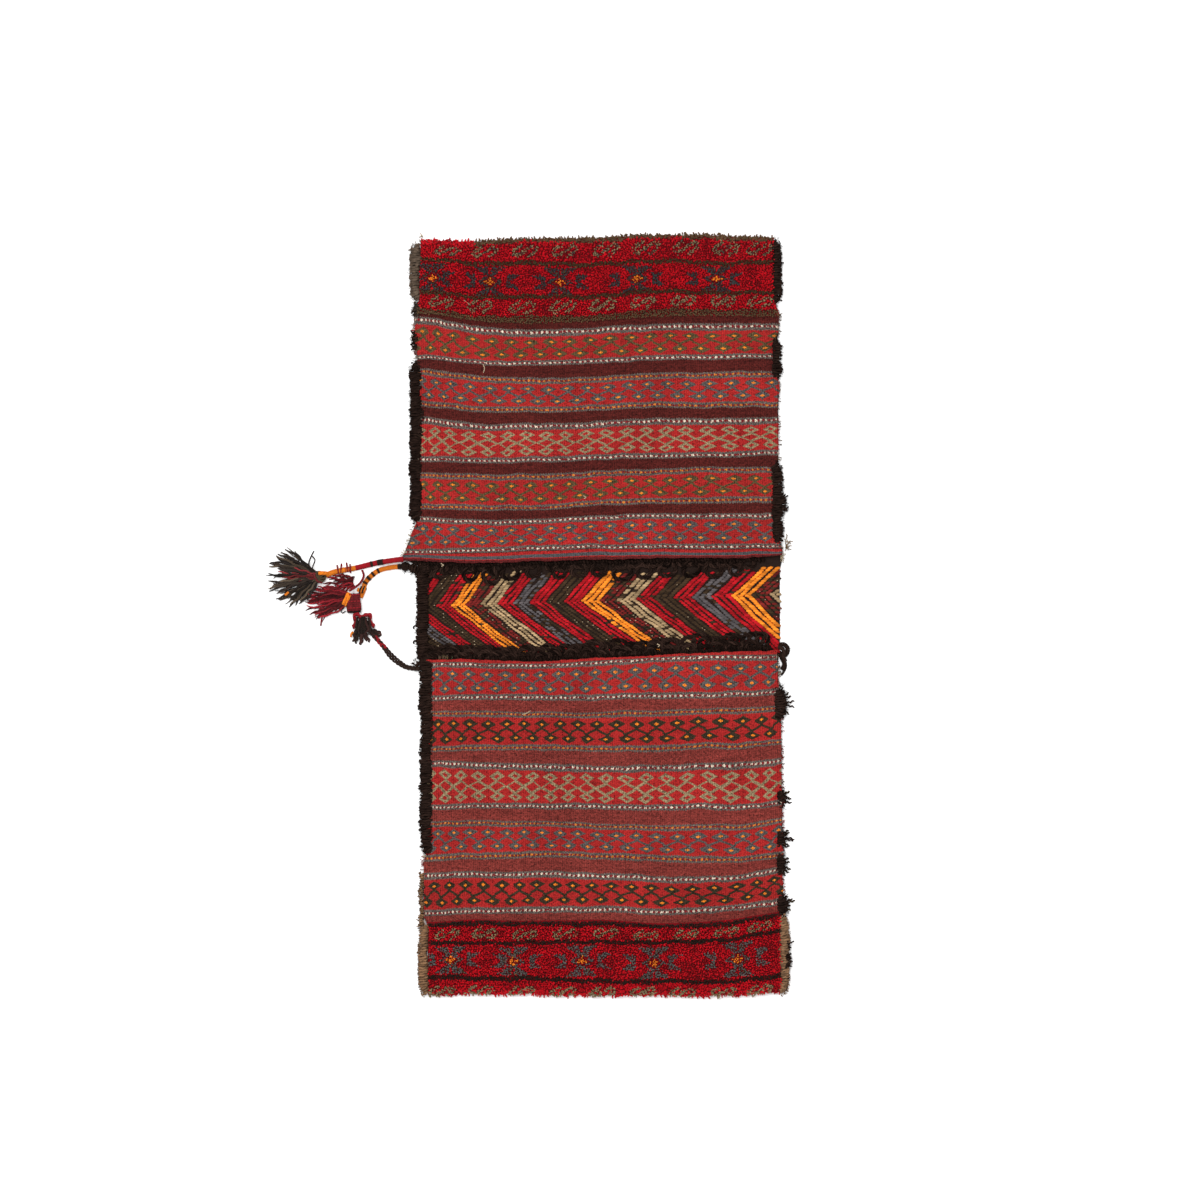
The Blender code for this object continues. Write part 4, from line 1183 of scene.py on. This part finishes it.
# Each run is its node, its side, its top and bottom, its outer line, its dye and half its width.
BINDINGS = (
    ("upper_left_black_binding", -1, 362.5, 521, 408.8, GOAT, 7.0),
    ("upper_left_dark_binding", -1, 302.5, 318, 411.0, (0.028, 0.020, 0.015), 5.5),
    ("upper_left_tan_binding", -1, 244, 299, 408.8, DUSTY, 6.2),
    ("upper_right_mouth_binding", 1, 463.5, 544, 784.0, GOAT, 7.0),
    ("upper_right_middle_binding", 1, 339.5, 379, 783.0, GOAT, 6.0),
    ("upper_right_top_binding", 1, 241, 302, 783.0, GOAT, 6.4),
    ("lower_left_black_binding", -1, 657.0, 853, 418.6, GOAT, 8.2),
    ("lower_left_tan_binding", -1, 925, 993, 418.6, WORN_TAN, 5.6),
    ("right_tuft_1", 1, 688, 719, 787.0, GOAT, 7.4),
    ("right_tuft_2", 1, 790, 804, 786.5, GOAT, 6.0),
    ("right_tuft_3", 1, 829, 848, 786.0, GOAT, 5.4),
    ("right_tuft_4", 1, 852, 876, 786.0, GOAT, 5.4),
    ("right_tuft_5", 1, 894, 915, 788.0, GOAT, 6.2),
    ("lower_right_tan_binding", 1, 917, 992, 789.6, WORN_TAN, 5.6),
)
for order, (name, side, top, bottom, outer, dye, half) in enumerate(BINDINGS):
    chance = random.Random(40 + order)
    pieces = max(4, round((bottom - top) / 3.0))
    ends = [min(1.0, 0.5 + 0.25 * min(n, pieces - n)) for n in range(pieces + 1)]
    axis = []
    for number, share in enumerate(ends):
        down = top + (bottom - top) * number / pieces
        sway = 1.7 * noise.noise(Vector((down * 0.05, order * 3.1, 0.0)))
        axis.append(plan(outer - side * (half * (2.0 - share) + 0.2 + sway), down, MID_HEIGHT + 0.0004))
    widths = [half * STEP * share * chance.uniform(0.74, 1.12) for share in ends]
    heights = [BINDING_HALF_HEIGHT * share for share in ends]
    black = dye[0] < 0.1
    # The second run lies inside the first and shows only between its turns; its dye is painted at 0.8 as
    # shade.
    strands = [winding(axis, widths, heights, 0.0018, 0.0036, dye, chance, 0.0017),
               winding(axis, [w * 0.9 for w in widths], [h * 0.9 for h in heights], 0.0017, 0.0047,
                       lit(dye, 0.8), chance, 0.0020)]
    strands += loose_hairs(axis, half * STEP, side, int((bottom - top) * 0.6), 0.0034, dye, chance,
                           0.0012)
    if not black:
        strands += loose_hairs(axis, half * STEP, side, int((bottom - top) * 2.2), 0.0036, dye, chance,
                               0.0007)
        strands += loose_hairs(axis, half * STEP, side, int((bottom - top) * 0.5), 0.0036, GOAT, chance,
                               0.0009)
    shaggy = 0.0075 if name.startswith("right_tuft") else 0.0042
    strands += loose_hairs(axis, half * STEP, side, int((bottom - top) * 2.6), shaggy,
                           dye if black else PALE_HAIR, chance)
    if name.startswith("right_tuft"):
        strands += fan(plan(outer - 3, (top + bottom) / 2, 0.009), -8, 60, 8, 0.008, 0.017, 0.0013,
                       (GOAT, DARK_OLIVE), chance, (bottom - top) * STEP * 0.4, 0.004)
    piece = spun(name, strands, hair_yarn if black else tan_yarn, sides=5)
    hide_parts(name)

# The bridge is a single layer, and its left edge has a broad winding of its own in black goat hair,
# two runs of yarn over each other. Hairs stand out of it on both sides and two ends curl away.
chance = random.Random(60)
axis = [plan(422.2 + 1.3 * noise.noise(Vector((down * 0.05, 7.0, 0.0))), down, 0.0063)
        for down in range(566, 662, 3)]
strands = [winding(axis, 0.0095, 0.006, 0.0017, 0.0034, GOAT, chance, 0.0013),
           winding(axis, 0.0075, 0.0056, 0.0016, 0.0046, GOAT, chance, 0.0014)]
for at in (627, 642):
    curl = drawn(0.001, (421, at, 0.006), (416.5, at - 1.5, 0.005), (413.5, at - 0.3, 0.004),
                 (413.8, at + 1.8, 0.003))
    strands.append((curl, 0.0012, GOAT))
strands += loose_hairs(axis, 0.008, -1, 150, 0.006, GOAT, chance)
strands += loose_hairs(axis, 0.009, 1, 60, 0.007, GOAT, chance, 0.0011)
strands += loose_hairs(axis, 0.009, -1, 16, 0.006, GOAT, chance, 0.0011)
bridge_binding = spun("bridge_left_binding", strands, hair_yarn, sides=5)
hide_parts("bridge_left_binding")

# Between the long runs a few short ones are left: small black tufts at the fold's sides, a thin tan
# run low on the left edge, and tan ends by the upper mouth.
edge_tufts = []
for right, down, reach in ((415.0, 338, 4.5), (415.5, 347, 3.0), (421.5, 415, 5.5), (783, 500, 4.0),
                           (784, 508, 3.5), (787.5, 943, 3.2), (788.0, 957, 4.6), (786.5, 966, 3.0)):
    side = -1 if right < 600 else 1
    middle = [plan(right, down + step * reach * 0.7, 0.0100) for step in (-1, -0.3, 0.3, 1)]
    edge_tufts.append(winding(middle, reach * STEP * 0.7, 0.0060, 0.0016, 0.0034, GOAT, chance, 0.0020))
    edge_tufts += loose_hairs(middle, reach * STEP * 0.7, side, 22, 0.0055, GOAT, chance)
    edge_tufts += loose_hairs(middle, reach * STEP * 0.7, side, 8, 0.0060, GOAT, chance, 0.0011)
edge_tufts += loose_hairs([plan(785, down, 0.010) for down in range(539, 548)], 0.003, 1, 20, 0.009,
                          TAN, chance, 0.0006)
thin_run = [plan(421.6 + 0.8 * math.sin(down * 0.23), down, MID_HEIGHT) for down in range(874, 927, 4)]
edge_tufts.append(winding(thin_run, 0.0036, 0.0066, 0.0014, 0.0034, WORN_TAN, chance, 0.0014))
edge_tufts += loose_hairs(thin_run, 0.0034, -1, 60, 0.0034, WORN_TAN, chance, 0.0007)
edge_tufts += loose_hairs(thin_run, 0.0034, -1, 26, 0.0034, GOAT, chance, 0.0008)
spun("edge_tufts", edge_tufts, hair_yarn, sides=5)

# Loops of plied goat hair stand along both mouths. When the bag is closed each goes through a slit of
# the front and is drawn through the next, so they lie thick and tangled over the bridge's ends.
def loop_strands(right, mouth, towards, width, reach, lean, height, chance, yarn=0.0032):
    """One loop from under the mouth and back, its three plies lying round each other."""
    shape = ((-0.30, -0.30), (-0.42, 0.25), (-0.62, 0.60), (-0.48, 0.90), (0.0, 1.0), (0.48, 0.88),
             (0.60, 0.58), (0.38, 0.22), (0.26, -0.30))
    mouth += drift(right, mouth)
    route = smooth_route([plan(right + x * width + lean * y, mouth + towards * y * reach,
                               height - 0.0015 + 0.0015 * min(1.0, max(0.0, y)))
                          for x, y in shape], 0.0022)
    strands = []
    for ply in (0.0, 2.1, 4.2):
        points = []
        for number, (point, ahead) in enumerate(zip(route, headings(route))):
            aside = Vector((-ahead.y, ahead.x, 0.0))
            turn = number * 0.85 + ply
            points.append(point + aside * yarn * 0.62 * math.cos(turn)
                          + Vector((0, 0, yarn * 0.50 * math.sin(turn))))
        strands.append((points, yarn * 0.48, lit(GOAT, chance.uniform(0.35, 2.3))))
    return strands


def loop_row(name, mouth, towards, first, last, seed, layers, tangle):
    """Layers of loops along a mouth, their roots hidden by a tangle of yarn and hair."""
    chance = random.Random(seed)
    strands = []
    for layer, (count, low, high, height) in enumerate(layers):
        for number in range(count):
            share = (number + 0.5 * (layer % 2) + chance.uniform(-0.2, 0.2)) / count
            right = first + (last - first) * share
            reach = chance.uniform(low, high) * (1.0 if towards > 0 else 0.74 + 0.30 * share)
            strands += loop_strands(right, mouth, towards, chance.uniform(9.5, 14.5), reach,
                                    chance.uniform(-4.5, 4.5), height, chance)
    # The tangle along the mouth is wound in the hair's dye at 0.7: painted shade under the loops.
    edge = [plan(right, mouth + drift(right, mouth)
                 + towards * (2.0 + 0.8 * math.sin(right * 0.3)), 0.0094)
            for right in range(first, last + 8, 4)]
    strands.append(winding(edge, tangle, 0.0032, 0.0018, 0.0046, lit(GOAT, 0.7), chance, 0.0014))
    roots = [plan(right, mouth + drift(right, mouth) + towards * 4.0, 0.0080)
             for right in range(first, last + 8)]
    strands += loose_hairs(roots, 0.003, 1, 130, 0.007, GOAT, chance)
    piece = spun(name, strands, hair_yarn, sides=5)
    return piece


upper_loops = loop_row("upper_closure_loops", UPPER_MOUTH, 1, 424, 758, 71,
                       ((15, 15, 21, 0.0080), (20, 6, 11, 0.0066)), 0.0034)
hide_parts(*[f"upper_loop_{number:02d}" for number in range(1, 16)])
lower_loops = loop_row("lower_closure_loops", LOWER_MOUTH, -1, 432, 768, 72,
                       ((25, 14, 20, 0.0068), (23, 9, 17, 0.0088), (21, 6, 12, 0.0102)), 0.0052)
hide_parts(*[f"lower_loop_{number:02d}" for number in range(1, 16)])

# A knot of goat hair holds the two upper cords to the mouth's left corner, a few turns hold the dark
# cord to the lower mouth's, and a stray loop of the same yarn hangs on at the right.
def ball_of_yarn(centre, radii, yarn, turns, dye, chance):
    """Yarn wound over a small ball in turns that keep changing their tilt."""
    points, dyes = [], []
    steps = turns * 14
    for step in range(steps + 1):
        turn = 2 * math.pi * step / 14
        tilt = math.pi * step / steps
        flat = Vector((math.cos(turn), math.sin(turn) * math.cos(tilt),
                       math.sin(turn) * math.sin(tilt)))
        spin = 2.4 * tilt
        out = Vector((flat.x * math.cos(spin) - flat.y * math.sin(spin),
                      flat.x * math.sin(spin) + flat.y * math.cos(spin), flat.z))
        points.append(Vector(centre) + Vector(a * (b - yarn) for a, b in zip(out, radii)))
        dyes.append(lit(dye, chance.uniform(0.75, 1.25)))
    return points, yarn, dyes


chance = random.Random(81)
knot_centre = Vector((-0.2775, 0.0727, MID_HEIGHT))
strands = [ball_of_yarn(knot_centre, (0.0072, 0.0066, 0.0066), 0.0017, 9, GOAT, chance)]
corner = [plan(404, 565, 0.0085), plan(409, 566.5, 0.0080), plan(415, 569, 0.0075),
          plan(423, 573, 0.0075)]
strands.append(winding(corner, [0.0050, 0.0056, 0.0074, 0.0070], 0.0058, 0.0018, 0.0038, GOAT,
                       chance, 0.0016))
strands += loose_hairs([knot_centre] + corner, 0.006, -1, 40, 0.006, GOAT, chance)
strands += loose_hairs([knot_centre] + corner, 0.006, -1, 7, 0.006, GOAT, chance, 0.0010)
corner_knot = spun("corner_knot", strands, hair_yarn, sides=6)
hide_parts("upper_corner_knot")

lower_corner = [plan(416.5, 663.5, 0.0062), plan(420, 664, 0.0080), plan(424, 662, 0.0088),
                plan(428, 657, 0.0090)]
strands = [winding(lower_corner, [0.0036, 0.0056, 0.0072, 0.0064], 0.0060, 0.0018, 0.0038, GOAT,
                   chance, 0.0020)]
strands += loose_hairs(lower_corner, 0.005, -1, 30, 0.006, GOAT, chance)
strands += loose_hairs(lower_corner, 0.005, -1, 9, 0.006, GOAT, chance, 0.0011)
spun("lower_corner_winding", strands, hair_yarn, sides=6)

first = drawn(0.0016, (779, 645, 0.0045), (784, 644.5, 0.0045), (787.5, 648, 0.004),
              (787, 653, 0.0038), (783, 656.5, 0.0036), (780.5, 653, 0.0036), (782, 658, 0.0034),
              (784.5, 664, 0.0034), (782, 670, 0.003))
second = drawn(0.0016, (778, 647, 0.0070), (782, 648.5, 0.0080), (784, 652, 0.0080),
               (783.5, 657, 0.0070), (785.5, 661, 0.0050))
tail = drawn(0.002, (784, 658, 0.003), (786, 666, 0.002), (783, 673, 0.0016), (781, 675, 0.0016))
# The second strand lies over the first and is painted at 1.5 of the hair's dye as a highlight.
corner_loop = [(first, 0.0033, GOAT), (second, 0.0028, lit(GOAT, 1.5)), (tail, 0.0018, GOAT)]
corner_loop += loose_hairs([plan(785, 650, 0.004)], 0.003, 1, 20, 0.005, GOAT, random.Random(82))
stray_loop = spun("stray_corner_loop", corner_loop, hair_yarn, sides=7)
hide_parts("right_corner_loop")

# The red cord ends in a large tassel: plied grey-brown ends, some of them fine, fan out of a neck that
# is wound into a ball, with an orange and a dark red strand over it.
tassel_yarn = yarn_material("tassel_wool", 2, 0.0045, 0.0009, 0.5)
MAROON = (0.058, 0.0075, 0.0075)
LIGHT_MAROON = (0.13, 0.016, 0.018)
chance = random.Random(91)
grey_wools = ((0.044, 0.031, 0.021), (0.024, 0.016, 0.013), (0.085, 0.062, 0.042),
              (0.012, 0.009, 0.008), (0.032, 0.023, 0.017), (0.016, 0.012, 0.010))
neck = plan(314.5, 577.5, 0.0080)
strands = fan(neck, 190, 46, 38, 0.046, 0.072, 0.0017, grey_wools, chance, 0.0070, uneven=0.13)
strands += fan(neck, 190, 52, 44, 0.036, 0.070, 0.0010, grey_wools, chance, 0.0070, uneven=0.13)
strands += fan(neck + Vector((0.004, 0.001, 0.004)), 176, 14, 6, 0.044, 0.058, 0.0013,
               (LIGHT_MAROON, MAROON), chance, 0.003, 0.014)
strands += fan(neck, 142, 12, 4, 0.050, 0.060, 0.0007, (GOAT, grey_wools[1]), chance, 0.002, 0.010)
strands.append((drawn(0.0015, (312, 572, 0.012), (309, 564, 0.013), (311, 557, 0.012),
                      (314, 551, 0.010)), 0.0012, GOAT))
strands.append((drawn(0.0015, (311, 572, 0.011), (313, 566, 0.012), (315, 560, 0.011),
                      (312, 556, 0.010)), 0.0010, GOAT))
strands.append(([plan(288.5, 592, 0.0135), plan(287, 593.5, 0.0140), plan(285, 595, 0.0134)],
                0.0018, ORANGE))
grey_skirt = spun("grey_tassel_skirt", strands, tassel_yarn, sides=5)
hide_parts("grey_tassel_skirt")
head_centre = plan(319.2, 577.0, 0.0083)
ball = [ball_of_yarn(head_centre, (0.0102, 0.0090, 0.0080), 0.0015, 13, (0.058, 0.042, 0.024),
                     chance)]
ball.append((drawn(0.001, (327, 573.5, 0.0118), (322.5, 573, 0.0150), (318.5, 573.5, 0.0150)),
             0.0028, ORANGE))
over = ((0.004, -0.008, 0.002), (-0.002, -0.006, 0.0065), (-0.006, 0.000, 0.0068),
        (-0.0075, 0.006, 0.003))
ball.append((smooth_route([head_centre + Vector(offset) for offset in over], 0.001), 0.0014,
             LIGHT_MAROON))
grey_head = spun("grey_tassel_head", ball, tassel_yarn, sides=6)
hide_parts("grey_tassel_head")

# The orange cord ends in a dark red tassel. Its neck sits in a woven sleeve with an orange band at the
# end, tied on with orange and black yarn, and single ends hang loose over the two cords.
maroon_wools = ((0.098, 0.0080, 0.0105), (0.160, 0.0095, 0.0140), (0.048, 0.0065, 0.0072))
along = Vector((-0.998, -0.060, 0.0)).normalized()
sleeve_start = plan(360.2, 602.0, 0.0083)
sleeve = [sleeve_start + along * 0.0186 * number / 8 for number in range(9)]
strands = [winding(sleeve, 0.0135, 0.0078, 0.0016, 0.0026, (0.095, 0.010, 0.011), chance, 0.0005),
           winding(sleeve, 0.0122, 0.0072, 0.0016, 0.0034, (0.060, 0.009, 0.009), chance, 0.0005)]
aside = Vector((-along.y, along.x, 0.0))
for column in range(8):
    shift = aside * (column - 3.5) * 0.0031
    strands.append(([point + shift + Vector((0, 0, 0.0070 - 0.0007 * abs(column - 3.5)
                                             + 0.0007 * (-1) ** (number + column)))
                     for number, point in enumerate(sleeve)], 0.0012,
                    (0.22, 0.013, 0.018) if column % 3 == 0 else (0.115, 0.010, 0.013)))
strands.append(([sleeve[0] + aside * 0.0130, sleeve[4] + aside * 0.0138 + Vector((0, 0, 0.001)),
                 sleeve[-1] + aside * 0.0132], 0.0017, (0.020, 0.008, 0.007)))
strands.append((drawn(0.001, (364.5, 588, 0.0100), (361, 590.5, 0.0135), (357.5, 589.5, 0.0150)),
                0.0030, ORANGE))
for at in (363.2, 360.2):
    strands.append((drawn(0.001, (at + 1.2, 586.5, 0.0110), (at, 589.5, 0.0185),
                          (at - 1.0, 593, 0.0130)), 0.0011, GOAT))
strands.append((drawn(0.001, (344, 607.5, 0.008), (341, 610.5, 0.006), (342.5, 613, 0.005),
                      (345.5, 611, 0.006)), 0.0009, GOAT))
maroon_head = spun("maroon_tassel_head", strands, tassel_yarn, sides=6)
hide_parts("maroon_tassel_head")
tie = Vector((-0.89, 0.45, 0.0)).normalized()
band = [plan(348.4, 600.0, 0.0088) + tie * 0.0056 * number / 4 for number in range(5)]
maroon_band = spun("maroon_tassel_band",
                   [winding(band, 0.0106, 0.0076, 0.0014, 0.0016, ORANGE, chance, 0.0003),
                    winding(band, 0.0098, 0.0070, 0.0014, 0.0020, ORANGE, chance, 0.0003)],
                   tassel_yarn, sides=6)
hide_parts("maroon_tassel_band")
strands = fan(band[-1], 186, 27, 34, 0.040, 0.060, 0.0015, maroon_wools, chance, 0.0088,
              uneven=-0.06)
strands += fan(band[-1], 186, 28, 20, 0.036, 0.056, 0.0010, maroon_wools, chance, 0.0088,
               uneven=-0.06)
strands.append((drawn(0.0015, (330, 607, 0.006), (323.5, 614, 0.004), (321.5, 619, 0.003),
                      (320.5, 626, 0.002)), 0.0013, maroon_wools[1]))
strands += fan(plan(353, 582, 0.004), 184, 20, 18, 0.024, 0.044, 0.0013, maroon_wools, chance, 0.007,
               0.006)
strands.append((drawn(0.0015, (362, 570, 0.0086), (363.5, 576, 0.0080), (360, 583, 0.0100),
                      (354, 588, 0.0165), (349, 591, 0.0178)), 0.0017, maroon_wools[1]))
for right, down, lean in ((337, 565, 1.5), (341.5, 563.5, -1.0), (346.5, 562.5, 1.0), (350, 564, 0.5)):
    strands.append(([plan(right + lean, down + 9, 0.0064), plan(right + lean / 2, down + 4, 0.0075),
                     plan(right, down, 0.0060)], 0.0013, maroon_wools[1]))
maroon_skirt = spun("maroon_tassel_skirt", strands, tassel_yarn, sides=5)
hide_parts("maroon_tassel_skirt")

# The dark braid ends in a small tassel of thick dark wool with one orange end, its knot covered by six
# strands laid side by side and held by a loop of red yarn.
mini_centre = plan(363.0, 625.0, 0.0075)
dark_wools = ((0.022, 0.011, 0.009), (0.034, 0.014, 0.012), (0.013, 0.008, 0.006))
strands = [ball_of_yarn(mini_centre, (0.0098, 0.0092, 0.0072), 0.0019, 9, dark_wools[0], chance)]
for column in range(6):
    right = 356.5 + column * 2.7
    bow = chance.uniform(-2.2, 2.2)
    strands.append((drawn(0.0015,
                          (362 + (right - 362) * 0.8, 618 + chance.uniform(-1.5, 2.5), 0.0115),
                          (right + bow, 623, 0.0140), (right - bow, 629, 0.0125),
                          (right - 1 + bow, 634 + chance.uniform(-2, 1), 0.0085)),
                    0.0017, chance.choice(dark_wools)))
mini_head = spun("mini_tassel_head", strands, tassel_yarn, sides=6)
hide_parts("mini_tassel_head")
strands = fan(plan(361.5, 630, 0.0070), -103, 30, 8, 0.017, 0.024, 0.0022, dark_wools, chance, 0.0060,
              0.006)
strands += fan(plan(368, 629, 0.0070), -27, 9, 4, 0.020, 0.026, 0.0020, dark_wools, chance, 0.0015,
               0.004)
strands.append(([plan(353.0, 631.5, 0.0065), plan(351, 634, 0.0066), plan(350.5, 637, 0.006)], 0.0017,
                ORANGE))
mini_skirt = spun("mini_tassel_skirt", strands, tassel_yarn, sides=5)
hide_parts("mini_tassel_skirt")
small_loop = drawn(0.0012, (353, 627, 0.0060), (355.5, 621.5, 0.0075), (354, 616, 0.0082),
                   (357, 613.5, 0.0090), (361, 616.5, 0.0096), (366, 614.5, 0.0092),
                   (370.5, 615, 0.0080), (370, 620.5, 0.0070), (374, 626, 0.0055))
radii = [0.0023 + 0.0004 * math.sin(1.3 * number) for number in range(len(small_loop))]
beside = [point + Vector((0.0006 * math.sin(number), -0.0022, 0.0004))
          for number, point in enumerate(small_loop)]
red_loop = spun("small_red_loop",
                [(small_loop, radii, (0.24, 0.010, 0.015)), (beside, 0.0017, (0.13, 0.008, 0.011))],
                tassel_yarn, sides=7)
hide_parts("small_red_loop")

# The three cords end in knots, each with its tassel; here only the lengths of their routes are worked
# out.
route_length(red_line)
route_length(orange_line)
route_length(dark_line)

# Where the edges are worn bare, ends of the cream and tan warp and of the red weft stand out of them.
# A few threads are pulled up on the fronts, and short tips of the warp show at the lower hem.
frayed_warp = yarn_material("frayed_warp", 2, 0.003, 0.0005, 0.4)
chance = random.Random(95)
strands = []
# Each worn stretch is its side, its top and bottom, its number of ends and their dye.
WORN_EDGES = (
    (-1, 322, 361, 50, RED_WEFT), (-1, 322, 361, 16, CREAM), (-1, 352, 361, 12, TAN),
    (-1, 519, 560, 44, CREAM), (-1, 853, 921, 60, RED_WEFT), (-1, 853, 921, 22, CREAM),
    (1, 303, 338, 26, TAN), (1, 378, 462, 44, TAN), (1, 378, 388, 14, CREAM),
    (1, 538, 560, 36, CREAM), (1, 657, 690, 44, TAN), (1, 664, 690, 16, CREAM),
    (1, 718, 790, 44, RED_WEFT), (1, 718, 790, 22, TAN), (-1, 236, 262, 18, CREAM),
    (1, 803, 915, 60, RED_WEFT), (1, 803, 915, 26, TAN))
for side, top, bottom, number, dye in WORN_EDGES:
    for _ in range(number):
        down = chance.uniform(top, bottom)
        left, far = edges(down)
        edge = left + 2.0 if side < 0 else far - 2.0
        start = plan(edge, down, MID_HEIGHT + chance.uniform(-0.002, 0.003))
        reach = chance.uniform(0.003, 0.0085)
        turn = chance.uniform(-1.1, 1.1)
        out = Vector((side * math.cos(turn), math.sin(turn), 0.0))
        points = [start + out * reach * t + Vector((0, 0, -0.5 * reach * t * t))
                  + Vector((0, chance.uniform(-1, 1) * 0.0008, 0)) for t in (0, 0.3, 0.6, 0.85, 1)]
        light = chance.uniform(0.4, 1.15)
        strands.append((points, chance.uniform(0.0003, 0.0007), lit(dye, light)))
PULLED_THREADS = (
    ((463.7, 299.8), (466, 301.2), (469.8, 303.4)), ((522, 714.5), (526, 713.5), (530.5, 711)),
    ((483, 362), (484.5, 366), (483.5, 371)), ((496.5, 498.5), (498.5, 497), (500, 498)),
    ((441, 564.5), (443.5, 566), (441.5, 567.5)), ((657, 646), (659.5, 647.5), (658, 649)),
    ((583.5, 498), (586, 500), (584, 501)), ((675, 927), (678, 926), (680, 927.5)))
for line in PULLED_THREADS:
    points = [strip_point(right, down, plan(0, down).y, TOP + 0.0022, 1.0) for right, down in line]
    strands.append((smooth_route(points, 0.0012), 0.0007, CREAM))
for _ in range(15):
    right = chance.uniform(437, 454)
    tip = 656.9 - chance.uniform(0, 2.4)
    points = [plan(right, 659.5, TOP - 0.0012), plan(right + chance.uniform(-1, 1), 657.8, TOP - 0.0002),
              plan(right + chance.uniform(-2, 2), tip, TOP - 0.001)]
    strands.append((points, 0.0004, tuple(part * chance.uniform(0.4, 0.9) for part in TAN)))
fringe = spun("frayed_warps", strands, frayed_warp, sides=4)

bpy.context.view_layer.update()
